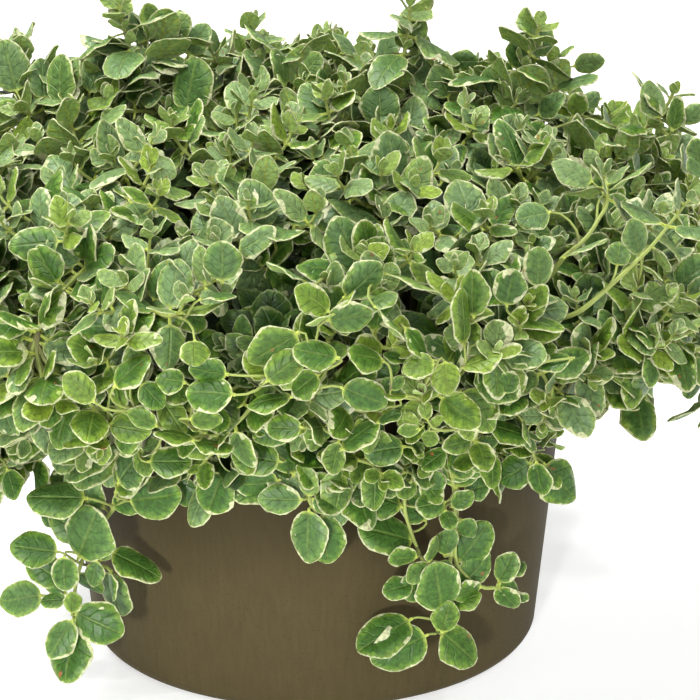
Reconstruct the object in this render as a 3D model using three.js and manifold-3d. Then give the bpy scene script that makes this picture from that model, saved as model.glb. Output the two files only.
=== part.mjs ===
// A variegated oregano plant in a plain round pot, in millimetres with +Z up.
// The origin is the middle of the pot's underside and the plant's front faces -Y.
// The pot, the soil that fills it and each leafy stem are separate solids.
import * as THREE from "three";
import { mergeVertices } from "three/addons/utils/BufferGeometryUtils.js";
import Module from "manifold-3d";

const wasm = await Module();
wasm.setup();

// Pot: a tapering wall, a rounded bottom edge and four drain holes round a solid middle.
const POT_HEIGHT = 128;
const POT_TOP_RADIUS = 90;
const POT_BASE_RADIUS = 76.5;
const POT_WALL = 3;
const POT_FLOOR = 3.5;
const POT_LIP_ROUND = 1;
const POT_EDGE_ROUND = 6;
const POT_EDGE_STEPS = 3;
const POT_SIDES = 40;
const DRAIN_COUNT = 4;
const DRAIN_RADIUS = 5;
const DRAIN_RING = 42;
const DRAIN_SIDES = 8;

// Soil: fills the pot to a little below the rim, with one plain hole for each stem.
const SEAT_GAP = 0.3;
const SOIL_TOP = 114;
const HOLE_DEPTH = 6;
const HOLE_RADIUS = 4.6;
const HOLE_SIDES = 5;

// Mound: the surface that the shoot tips reach, a flat dome over a skirt that tucks in again.
const MOUND_RADIUS = 146;
const MOUND_TOP = 184;
const MOUND_BULGE_HEIGHT = 138;
const MOUND_POWER = 2.8;
const SKIRT_RADIUS = 100;
const SKIRT_HEIGHT = 92;
const SKIRT_RISE_TO_RIGHT = 15;
const PROFILE_STEPS = 60;

// Stems: set in the soil in a sunflower pattern, each arching out to its own place in the mound.
const STEM_COUNT = 54;
const STEM_RING = 66;
const TOP_BIAS = 1.2;
const SPIRAL_START = (48 * Math.PI) / 180;
const GOLDEN_ANGLE = Math.PI * (3 - Math.sqrt(5));
const RANDOM_SEED = 20241;

// Stalks: square in section. The outer ones rise higher before they arch over the rim.
const STALK_RADIUS = 1.5;
const STALK_SIDES = 4;
const STALK_STEPS = 5;
const STALK_RISE = 38;
const STALK_RISE_OUTWARD = 40;
const STALK_REACH_BACK = 38;
const STALK_DROP_BACK = 34;
const STALK_DROOP = 50;
const RIM_CLEARANCE = 26;
const DROOP_BELOW = 128;
const FRAME_STEPS = 60;
const LINE_STEPS = 12;

// Leaders: the shoots that stand above the mound or trail below it, by the place of their tips.
const LEADERS = [
  { tip: [-88, -82, 16], trails: true },
  { tip: [-1, -101, 66], trails: true },
  { tip: [30, -104, 34], trails: true },
  { tip: [64, -88, 52], trails: true },
  { tip: [132, -34, 88], trails: true },
  { tip: [-112, -52, 66], trails: true },
  { tip: [-64, 22, 216], trails: false },
  { tip: [-100, 34, 200], trails: false },
  { tip: [-20, 56, 200], trails: false },
  { tip: [34, 42, 210], trails: false },
  { tip: [78, 38, 204], trails: false },
  { tip: [122, 14, 186], trails: false },
];

// Blades: opposite pairs, each pair turned a quarter from the last, from the stem's tip down.
const BLADE_THICKNESS = 0.7;
const BLADE_SLIMNESS = 0.8;
const BLADE_CUP = 0.1;
const BLADE_ROOT = 0.3;
const PAIR_SPACING = 11;
const PAIR_LENGTHS = [18, 27, 32, 34, 32];
const PAIR_LIFTS = [0.6, 0.3, 0.1, -0.05, -0.1];
const PAIRS_ON_MOUND = 4;
const PAIRS_ON_TRAIL = 5;
const TIP_MARGIN = 1.5;
const LENGTH_SPREAD = 0.16;
const LIFT_SPREAD = 0.2;
const FACE_LEAN = 0.4;

// Light: pulls the blades outward at the sides of the mound and upward at its top.
const LIGHT_PULL = 0.25;
const LIGHT_UP = 0.8;
const LIGHT_OUT_FULL_AT = 110;
const LIGHT_OUT_MOST = 1.1;

// Cores: a four-sided spindle in each leafy stem, at these lengths down from the stem's tip.
const CORE_PLACES = [3, 28, 50];
const CORE_RADIUS = 22;
const CORE_SIDES = 4;

// Room: each stem's foliage keeps to the space that is nearer to its own stalk than to others.
const CELL_MARGIN = 0.8;
const POT_CLEARANCE = 2;
const GROUND_CLEARANCE = 3;
const SHRINK_STEPS = 12;
const SHRINK_STEP = 0.05;
const BEND_STEPS = 3;
const BEND_STEP = 0.22;

const UP = new THREE.Vector3(0, 0, 1);

/** A repeatable stream of numbers from 0 to 1. */
function randomStream(seed) {
  let state = seed;
  return () => {
    state = (state * 1664525 + 1013904223) % 4294967296;
    return state / 4294967296;
  };
}

/** Turns a closed three.js geometry into a solid that can be joined and cut. */
function toSolid(geometry) {
  const bare = geometry.clone();
  bare.deleteAttribute("normal");
  bare.deleteAttribute("uv");
  const merged = mergeVertices(bare, 1e-4);
  const corners = merged.index.array;
  const kept = [];
  for (let i = 0; i < corners.length; i += 3) {
    const [a, b, c] = [corners[i], corners[i + 1], corners[i + 2]];
    if (a !== b && b !== c && c !== a) kept.push(a, b, c);
  }
  return new wasm.Manifold(new wasm.Mesh({
    numProp: 3,
    vertProperties: new Float32Array(merged.attributes.position.array),
    triVerts: new Uint32Array(kept),
  }));
}

/** The largest body of a solid, without loose scraps and with any sealed hollow filled. */
function largestBody(solid) {
  return solid.decompose().sort((a, b) => b.volume() - a.volume())[0];
}

/** Turns a solid back into a named three.js mesh with its own material. */
function toMesh(name, solid, finish) {
  const { vertProperties, triVerts, numProp } = solid.getMesh();
  const positions = new Float32Array((vertProperties.length / numProp) * 3);
  for (let i = 0; i < positions.length / 3; i += 1) {
    for (let k = 0; k < 3; k += 1) positions[i * 3 + k] = vertProperties[i * numProp + k];
  }
  const geometry = new THREE.BufferGeometry();
  geometry.setAttribute("position", new THREE.BufferAttribute(positions, 3));
  geometry.setIndex(new THREE.BufferAttribute(new Uint32Array(triVerts), 1));
  geometry.computeVertexNormals();
  const mesh = new THREE.Mesh(geometry, new THREE.MeshStandardMaterial(finish));
  mesh.name = name;
  return mesh;
}

/** The solid with these points as its corners and these triples of them as its triangles. */
function closedSolid(points, index) {
  const geometry = new THREE.BufferGeometry().setFromPoints(points);
  geometry.setIndex(index);
  return toSolid(geometry);
}

/** Turns a profile of [radius, height] points about the Z axis. */
function turned(profile) {
  const points = profile.map(([radius, height]) => new THREE.Vector2(radius, height));
  const geometry = new THREE.LatheGeometry(points, POT_SIDES);
  geometry.rotateX(Math.PI / 2);
  return toSolid(geometry);
}

/** An upright prism that stands from one height to another. */
function prism(x, y, bottom, top, radius, sides) {
  const geometry = new THREE.CylinderGeometry(radius, radius, top - bottom, sides);
  geometry.rotateX(Math.PI / 2);
  geometry.translate(x, y, (bottom + top) / 2);
  return toSolid(geometry);
}

/** The radius of the pot's outer wall at a height. */
function potRadius(height) {
  return POT_BASE_RADIUS + (POT_TOP_RADIUS - POT_BASE_RADIUS) * (height / POT_HEIGHT);
}

/** The pot: one turned shell, cut by its drain holes. */
function makePot() {
  const profile = [[0, 0]];
  for (let i = 0; i <= POT_EDGE_STEPS; i += 1) {
    const turn = (i / POT_EDGE_STEPS) * (Math.PI / 2);
    const radius = potRadius(POT_EDGE_ROUND) - POT_EDGE_ROUND * (1 - Math.sin(turn));
    profile.push([radius, POT_EDGE_ROUND * (1 - Math.cos(turn))]);
  }
  profile.push([POT_TOP_RADIUS, POT_HEIGHT - POT_LIP_ROUND]);
  profile.push([POT_TOP_RADIUS - POT_LIP_ROUND, POT_HEIGHT]);
  profile.push([POT_TOP_RADIUS - POT_WALL, POT_HEIGHT]);
  profile.push([potRadius(POT_FLOOR) - POT_WALL, POT_FLOOR]);
  profile.push([0, POT_FLOOR]);
  let pot = turned(profile);
  for (let i = 0; i < DRAIN_COUNT; i += 1) {
    const turn = ((i + 0.5) / DRAIN_COUNT) * 2 * Math.PI;
    const [x, y] = [DRAIN_RING * Math.cos(turn), DRAIN_RING * Math.sin(turn)];
    pot = pot.subtract(prism(x, y, -1, POT_FLOOR + 1, DRAIN_RADIUS, DRAIN_SIDES));
  }
  return pot;
}

/** The soil: a turned block that fits the pot, cut by the hole that each stem stands in. */
function makeSoil(stems) {
  const bottom = POT_FLOOR + SEAT_GAP;
  const inset = POT_WALL + SEAT_GAP * 1.5;
  const profile = [
    [0, bottom],
    [potRadius(bottom) - inset, bottom],
    [potRadius(SOIL_TOP) - inset, SOIL_TOP],
    [0, SOIL_TOP],
  ];
  let soil = turned(profile);
  for (const { foot } of stems) {
    soil = soil.subtract(
      prism(foot.x, foot.y, SOIL_TOP - HOLE_DEPTH, SOIL_TOP + 1, HOLE_RADIUS, HOLE_SIDES));
  }
  return soil;
}

/** One point of the mound's outline, from its top (0) to the bottom of its skirt (2). */
function moundOutline(step, turn) {
  if (step <= 1) {
    const bend = (step * Math.PI) / 2;
    return {
      radius: MOUND_RADIUS * Math.sin(bend) ** (2 / MOUND_POWER),
      height: MOUND_BULGE_HEIGHT
        + (MOUND_TOP - MOUND_BULGE_HEIGHT) * Math.max(Math.cos(bend), 0) ** (2 / MOUND_POWER),
    };
  }
  const bend = ((step - 1) * Math.PI) / 2;
  const skirt = SKIRT_HEIGHT + SKIRT_RISE_TO_RIGHT * Math.cos(turn);
  return {
    radius: SKIRT_RADIUS + (MOUND_RADIUS - SKIRT_RADIUS) * Math.cos(bend),
    height: MOUND_BULGE_HEIGHT - (MOUND_BULGE_HEIGHT - skirt) * Math.sin(bend),
  };
}

/** The mound's area from its top down to each step of its outline, for an even spread. */
function moundAreas() {
  const areas = [0];
  for (let i = 1; i <= PROFILE_STEPS; i += 1) {
    const before = moundOutline((2 * (i - 1)) / PROFILE_STEPS, Math.PI / 2);
    const after = moundOutline((2 * i) / PROFILE_STEPS, Math.PI / 2);
    const slant = Math.hypot(after.radius - before.radius, after.height - before.height);
    areas.push(areas[i - 1] + slant * (after.radius + before.radius));
  }
  return areas;
}

/** The step of the mound's outline above which a share of its area lies. */
function stepAtShare(areas, share) {
  const wanted = share * areas[PROFILE_STEPS];
  const after = areas.findIndex((area) => area >= wanted);
  const part = (wanted - areas[after - 1]) / (areas[after] - areas[after - 1]);
  return (2 * (after - 1 + part)) / PROFILE_STEPS;
}

/** A point at a radius, a turn about the Z axis and a height. */
function polar(radius, turn, height) {
  return new THREE.Vector3(radius * Math.cos(turn), radius * Math.sin(turn), height);
}

/** Where each stem stands in the soil and where its tip comes to in the mound. */
function plantStems() {
  const areas = moundAreas();
  const stems = [];
  for (let i = 0; i < STEM_COUNT; i += 1) {
    const share = (i + 0.5) / STEM_COUNT;
    const turn = SPIRAL_START + i * GOLDEN_ANGLE;
    const { radius, height } = moundOutline(stepAtShare(areas, share ** TOP_BIAS), turn);
    stems.push({
      share,
      foot: polar(STEM_RING * Math.sqrt(share), turn, SOIL_TOP - HOLE_DEPTH + SEAT_GAP),
      tip: polar(radius, turn, height),
      trails: false,
      leads: false,
    });
  }
  for (const leader of LEADERS) {
    const place = new THREE.Vector3(...leader.tip);
    const free = stems.filter((stem) => !stem.leads);
    free.sort((a, b) => a.tip.distanceTo(place) - b.tip.distanceTo(place));
    const [stem] = free;
    const reach = Math.hypot(stem.foot.x, stem.foot.y);
    const foot = polar(reach, Math.atan2(place.y, place.x), stem.foot.z);
    Object.assign(stem, { foot, tip: place, trails: leader.trails, leads: true });
  }
  return stems;
}

/** The curve of a stem's stalk: straight up out of the soil, then over to its tip. */
function stalkCurve({ foot, tip, share }) {
  const outward = new THREE.Vector3(tip.x, tip.y, 0).normalize();
  const rise = foot.clone().addScaledVector(UP, STALK_RISE + STALK_RISE_OUTWARD * share);
  const arrive = tip.clone();
  if (tip.z < DROOP_BELOW) {
    arrive.z = Math.max(tip.z + STALK_DROOP, POT_HEIGHT + RIM_CLEARANCE);
  } else {
    const lean = share ** 1.5;
    arrive.addScaledVector(outward, -STALK_REACH_BACK * lean);
    arrive.z -= STALK_DROP_BACK * (1 - lean);
  }
  return new THREE.CubicBezierCurve3(foot, rise, arrive, tip);
}

/** The direction of the light at a point, which the upper face of a blade turns to. */
function lightAt(point) {
  const reach = Math.hypot(point.x, point.y);
  const lean = Math.min(reach / LIGHT_OUT_FULL_AT, LIGHT_OUT_MOST) / reach;
  return new THREE.Vector3(point.x * lean, point.y * lean, LIGHT_UP).normalize();
}

/** The corners of a blade in its own frame: x along it, y across it, z out of its upper face. */
function bladeCorners(length) {
  const half = (length * BLADE_SLIMNESS) / 2;
  return [
    [BLADE_ROOT, 0, 0],
    [0.4 * length, -half, BLADE_CUP * half],
    [0.8 * length, -0.74 * half, BLADE_CUP * half],
    [length, 0, -0.1 * length],
    [0.8 * length, 0.74 * half, BLADE_CUP * half],
    [0.4 * length, half, BLADE_CUP * half],
    [0.6 * length, 0, -2 * BLADE_CUP * half],
  ];
}

const BLADE_FACE = [[0, 1, 5], [1, 6, 5], [1, 2, 6], [2, 3, 6], [3, 4, 6], [4, 5, 6]];
const BLADE_RIM = [0, 1, 2, 3, 4, 5];

/** The corners of a blade where it grows. */
function placeBlade({ root, along, face, length }) {
  const across = new THREE.Vector3().crossVectors(face, along);
  return bladeCorners(length).map(([x, y, z]) => root.clone()
    .addScaledVector(along, x).addScaledVector(across, y).addScaledVector(face, z));
}

/** The closed solid of one blade, with its two faces split into triangles alike. */
function bladeSolid(blade) {
  const corners = placeBlade(blade);
  const points = [0.5, -0.5].flatMap((side) => corners.map(
    (corner) => corner.clone().addScaledVector(blade.face, side * BLADE_THICKNESS)));
  const below = corners.length;
  const index = [];
  for (const [a, b, c] of BLADE_FACE) {
    index.push(a, b, c, below + a, below + c, below + b);
  }
  BLADE_RIM.forEach((a, i) => {
    const b = BLADE_RIM[(i + 1) % BLADE_RIM.length];
    index.push(a, below + a, b, b, below + a, below + b);
  });
  return closedSolid(points, index);
}

/** The distance from a point to a stalk's line of points. */
function distanceToLine(point, line) {
  const nearest = new THREE.Vector3();
  let least = Infinity;
  for (const segment of line) {
    segment.closestPointToPoint(point, true, nearest);
    least = Math.min(least, nearest.distanceTo(point));
  }
  return least;
}

/** Whether a point is nearer to its own stalk than to any other, and clear of the pot. */
function isFree(point, own, lines) {
  const wall = potRadius(Math.min(point.z, POT_HEIGHT)) + POT_CLEARANCE;
  if (point.z < POT_HEIGHT + POT_CLEARANCE && Math.hypot(point.x, point.y) < wall) return false;
  if (point.z < GROUND_CLEARANCE) return false;
  const near = distanceToLine(point, lines[own]) + 2 * CELL_MARGIN;
  return lines.every((line, i) => i === own || distanceToLine(point, line) > near);
}

/** A blade of a pair, bent to the stem and shortened until it is clear, or nothing. */
function growBlade({ root, tangent, outward, length, lift }, own, lines) {
  const light = lightAt(root);
  for (let shrink = 0; shrink < SHRINK_STEPS; shrink += 1) {
    for (let bend = 0; bend < BEND_STEPS; bend += 1) {
      const raised = lift + bend * BEND_STEP;
      const along = outward.clone().multiplyScalar(Math.cos(raised))
        .addScaledVector(tangent, Math.sin(raised)).normalize();
      const face = light.clone().addScaledVector(tangent, FACE_LEAN);
      face.addScaledVector(along, -face.dot(along)).normalize();
      const blade = { root, along, face, length: length * (1 - shrink * SHRINK_STEP) };
      if (placeBlade(blade).every((corner) => isFree(corner, own, lines))) return blade;
    }
  }
  return null;
}

/** A direction square to a stem at a place along it, turned about it in quarters and parts. */
function sideAt({ curve, frames, twist }, place, quarters) {
  const step = Math.round(place * FRAME_STEPS);
  const turn = twist + (quarters * Math.PI) / 2;
  return frames.normals[step].clone().multiplyScalar(Math.cos(turn))
    .addScaledVector(frames.binormals[step], Math.sin(turn))
    .projectOnPlane(curve.getTangentAt(place)).normalize();
}

/** All the blades of a stem, from the pair at its tip down. */
function growBlades(stem, own, lines, random) {
  const { curve } = stem;
  const total = curve.getLength();
  const pairs = stem.trails ? PAIRS_ON_TRAIL : PAIRS_ON_MOUND;
  const blades = [];
  for (let pair = 0; pair < pairs; pair += 1) {
    const place = 1 - (TIP_MARGIN + pair * PAIR_SPACING) / total;
    const root = curve.getPointAt(place);
    const tangent = curve.getTangentAt(place);
    for (const way of [0, 2]) {
      const outward = sideAt(stem, place, pair + way + 0.5);
      outward.addScaledVector(lightAt(root), LIGHT_PULL).projectOnPlane(tangent).normalize();
      const length = PAIR_LENGTHS[pair] * (1 + LENGTH_SPREAD * (random() - 0.5));
      const lift = PAIR_LIFTS[pair] + LIFT_SPREAD * (random() - 0.5);
      const blade = growBlade({ root, tangent, outward, length, lift }, own, lines);
      if (blade) blades.push(blade);
    }
  }
  return blades;
}

/** The core of a leafy stem: a faceted spindle round its stalk, inside its blades. */
function coreSolid(stem, own, lines) {
  const { curve } = stem;
  const total = curve.getLength();
  const [top, middle, bottom] = CORE_PLACES.map((place) => 1 - place / total);
  const centre = curve.getPointAt(middle);
  const points = [curve.getPointAt(bottom), curve.getPointAt(top)];
  const index = [];
  for (let i = 0; i < CORE_SIDES; i += 1) {
    const way = sideAt(stem, middle, i);
    const at = (radius) => centre.clone().addScaledVector(way, radius);
    let radius = CORE_RADIUS;
    while (radius > 2 * STALK_RADIUS && !isFree(at(radius + 1), own, lines)) radius -= 1;
    points.push(at(radius));
    const [a, b] = [2 + i, 2 + ((i + 1) % CORE_SIDES)];
    index.push(0, b, a, 1, a, b);
  }
  return closedSolid(points, index);
}

/** The lower part of a curve, up to a share of its length. */
class LowerPart extends THREE.Curve {
  constructor(curve, reach) {
    super();
    this.curve = curve;
    this.reach = reach;
  }

  getPoint(place) {
    return this.curve.getPointAt(place * this.reach);
  }
}

/** The square stalk of a stem, from its foot up to a share of the stem's length. */
function stalkSolid({ curve, twist }, reach) {
  const section = new THREE.Shape();
  for (let i = 0; i < STALK_SIDES; i += 1) {
    const turn = twist + (i / STALK_SIDES) * 2 * Math.PI;
    const [x, y] = [STALK_RADIUS * Math.cos(turn), STALK_RADIUS * Math.sin(turn)];
    if (i === 0) section.moveTo(x, y);
    else section.lineTo(x, y);
  }
  section.closePath();
  const steps = Math.round(STALK_STEPS * reach);
  const extrudePath = new LowerPart(curve, reach);
  return toSolid(new THREE.ExtrudeGeometry(section, { steps, extrudePath }));
}

/** One leafy stem: its stalk, the core of its foliage and its blades, in one body. */
function makeStem(stem, own, lines, random) {
  let solid;
  if (stem.trails) {
    solid = stalkSolid(stem, 1);
  } else {
    solid = stalkSolid(stem, 1 - CORE_PLACES[1] / stem.curve.getLength());
    solid = solid.add(coreSolid(stem, own, lines));
  }
  for (const blade of growBlades(stem, own, lines, random)) solid = solid.add(bladeSolid(blade));
  return largestBody(solid);
}

const POT_FINISH = { color: 0x5f5443, roughness: 0.45, metalness: 0 };
const SOIL_FINISH = { color: 0x2d231b, roughness: 0.95, metalness: 0 };
const LEAF_FINISH = { color: 0x7fa05a, roughness: 0.6, metalness: 0 };

const plant = new THREE.Group();
const random = randomStream(RANDOM_SEED);
const stems = plantStems();
for (const stem of stems) {
  stem.curve = stalkCurve(stem);
  stem.frames = stem.curve.computeFrenetFrames(FRAME_STEPS, false);
  stem.twist = random() * Math.PI;
}
const lines = stems.map(({ curve }) => {
  const points = curve.getSpacedPoints(LINE_STEPS);
  return points.slice(1).map((point, i) => new THREE.Line3(points[i], point));
});

plant.add(toMesh("pot", makePot(), POT_FINISH));
plant.add(toMesh("soil", makeSoil(stems), SOIL_FINISH));
stems.forEach((stem, i) => {
  const name = `stem_${String(i + 1).padStart(2, "0")}`;
  plant.add(toMesh(name, makeStem(stem, i, lines, random), LEAF_FINISH));
});

export default plant;
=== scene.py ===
"""A variegated oregano plant in a plain round pot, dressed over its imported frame, in metres.

The frame's stems are each replaced by one finer piece: the same stalk, the side shoots that branch
from it, and their opposite pairs of cream-edged leaves.  The pot and the soil get finer meshes of
the same form.  The origin is the middle of the pot's underside and the plant's front faces -Y.
"""
import logging
import math
from dataclasses import dataclass, field, fields
from enum import Enum

import bpy
import numpy as np
from mathutils import Matrix, Vector


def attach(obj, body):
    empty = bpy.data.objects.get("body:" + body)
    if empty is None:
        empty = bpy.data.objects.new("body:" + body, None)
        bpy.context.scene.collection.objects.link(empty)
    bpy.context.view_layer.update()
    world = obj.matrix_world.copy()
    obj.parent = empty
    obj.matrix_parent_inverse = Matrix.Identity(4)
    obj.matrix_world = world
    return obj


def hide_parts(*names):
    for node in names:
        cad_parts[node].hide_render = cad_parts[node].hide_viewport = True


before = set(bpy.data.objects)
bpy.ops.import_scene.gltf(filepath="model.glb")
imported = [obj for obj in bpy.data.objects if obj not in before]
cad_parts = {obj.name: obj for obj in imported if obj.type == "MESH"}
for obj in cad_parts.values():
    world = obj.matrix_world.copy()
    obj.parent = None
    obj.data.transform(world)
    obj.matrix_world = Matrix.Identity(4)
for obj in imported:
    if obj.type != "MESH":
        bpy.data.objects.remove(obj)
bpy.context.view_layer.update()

LOG = logging.getLogger("oregano")
MM = 0.001
ROOT_BODY = "root"
GOLDEN_ANGLE = math.pi * (3 - math.sqrt(5))
UP = np.array([0.0, 0.0, 1.0])
FLAT_MAP = "OFBake"
TINY = 1e-12
PERCENT = 100
MIX_FACTOR, MIX_FIRST, MIX_SECOND, MIX_RESULT = 0, 6, 7, 2
Socket = bpy.types.NodeSocket
Wire = Socket | float | tuple | None
Material = bpy.types.Material
Piece = bpy.types.Object
Array = np.ndarray
Draws = np.random.Generator


class Slot(Enum):
    """Names for three material slots."""

    POT = "pot"
    SOIL = "soil"
    LEAF = "leaf"


class Lamp(Enum):
    """The kinds of lamp."""

    AREA = "AREA"
    SPOT = "SPOT"
    SUN = "SUN"


class Sum(Enum):
    """The sums that a finish's nodes do on numbers."""

    ADD = "ADD"
    SUBTRACT = "SUBTRACT"
    TIMES = "MULTIPLY"
    TIMES_ADD = "MULTIPLY_ADD"
    GREATEST = "MAXIMUM"
    SIZE = "ABSOLUTE"
    OVER = "GREATER_THAN"
    TO_AND_FRO = "PINGPONG"


class Mix(Enum):
    """How a finish's nodes mix two colours."""

    PLAIN = "MIX"
    TIMES = "MULTIPLY"


def unit(rows: Array) -> Array:
    """Scales vectors along the last axis to a length of one."""
    return rows / np.maximum(np.linalg.norm(rows, axis=-1, keepdims=True), TINY)


def square_to(rows: Array, axes: Array) -> Array:
    """Turns vectors square to unit vectors, or to one for all, and scales them to a length of one."""
    return unit(rows - axes * (rows * axes).sum(axis=-1, keepdims=True))


def smooth_step(low: float, high: float, values: Array) -> Array:
    """Eases values from nought at the low level to one at the high one."""
    share = np.clip((values - low) / (high - low), 0.0, 1.0)
    return share * share * (3.0 - 2.0 * share)


@dataclass
class Shells:
    """Closed shells made of quads, with what their finishes read at each corner.

    Attributes:
        points: Places of the corners, one a row.
        quads: Corner numbers of the faces, four a row.
        chart: Where each face's corners lie on the flat map.
        place: Along the part, across it, and the distance to its edge in millimetres of a full leaf.
        tone: Age, hue and share of cream of what the corner belongs to; the age carries painted shade and
            the hue painted sheen.
        under: One on an underside and nought elsewhere.
        finish: The number of the faces' finish on the piece.
    """

    points: Array
    quads: Array
    chart: Array
    place: Array
    tone: Array
    under: Array
    finish: int = 0


def make_mesh(name: str, points: Array, faces: list[list[int]]) -> Piece:
    """Makes an object from corners and faces, and links it to the scene.

    Args:
        name: The object's name.
        points: Places of the corners, one a row.
        faces: The corner numbers of each face.

    Returns:
        The new object, with smooth faces.
    """
    mesh = bpy.data.meshes.new(name)
    mesh.from_pydata(points.tolist(), [], faces)
    mesh.polygons.foreach_set("use_smooth", np.ones(len(faces), dtype=bool))
    piece = bpy.data.objects.new(name, mesh)
    bpy.context.scene.collection.objects.link(piece)
    return piece


def join_shells(name: str, parts: list[Shells], crease: float) -> Piece:
    """Makes one object from several sets of shells.

    Args:
        name: The object's name.
        parts: The sets of shells.
        crease: Faces that meet at more than this angle keep a sharp edge, in radians.

    Returns:
        The new object, with its flat map and what its finishes read.
    """
    starts = np.cumsum([0] + [len(part.points) for part in parts])
    quads = np.concatenate([part.quads + start for part, start in zip(parts, starts)])
    piece = make_mesh(name, np.concatenate([part.points for part in parts]), quads.tolist())
    mesh = piece.data
    finish = np.concatenate([np.full(len(part.quads), part.finish) for part in parts])
    mesh.polygons.foreach_set("material_index", finish.astype(np.int32))
    chart = np.concatenate([part.chart for part in parts])
    mesh.uv_layers.new(name=FLAT_MAP).uv.foreach_set("vector", chart.astype(np.float32).ravel())
    for label in ("place", "tone"):
        values = np.concatenate([getattr(part, label) for part in parts]).astype(np.float32)
        mesh.attributes.new(label, "FLOAT_VECTOR", "POINT").data.foreach_set("vector", values.ravel())
    under = np.concatenate([part.under for part in parts]).astype(np.float32)
    mesh.attributes.new("under", "FLOAT", "POINT").data.foreach_set("value", under)
    mesh.set_sharp_from_angle(angle=crease)
    return piece


@dataclass
class ChartSheet:
    """A band of the flat map, shared out in equal cells.

    Attributes:
        low: The band's lower edge.
        high: The band's upper edge.
        count: How many cells are wanted.
        stretch: A cell's width over its height.
        margin: The share of a cell that stays bare at each side.
    """

    low: float
    high: float
    count: int
    stretch: float
    margin: float = 0.06

    def lay(self, local: Array) -> Array:
        """Lays each item's own map in its cell.

        Args:
            local: Places from nought to one, with one item of the first axis for each cell.

        Returns:
            The places on the whole flat map.
        """
        height = self.high - self.low
        columns = max(1, math.ceil(math.sqrt(self.count / (self.stretch * height))))
        rows = math.ceil(self.count / columns)
        number = np.arange(self.count)
        corner = np.stack([number % columns, number // columns], axis=-1)
        size = np.array([1.0 / columns, height / rows])
        shape = (self.count,) + (1,) * (local.ndim - 2) + (2,)
        inner = self.margin + (1.0 - 2.0 * self.margin) * local
        return (corner.reshape(shape) + inner) * size + np.array([0.0, self.low])


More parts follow.
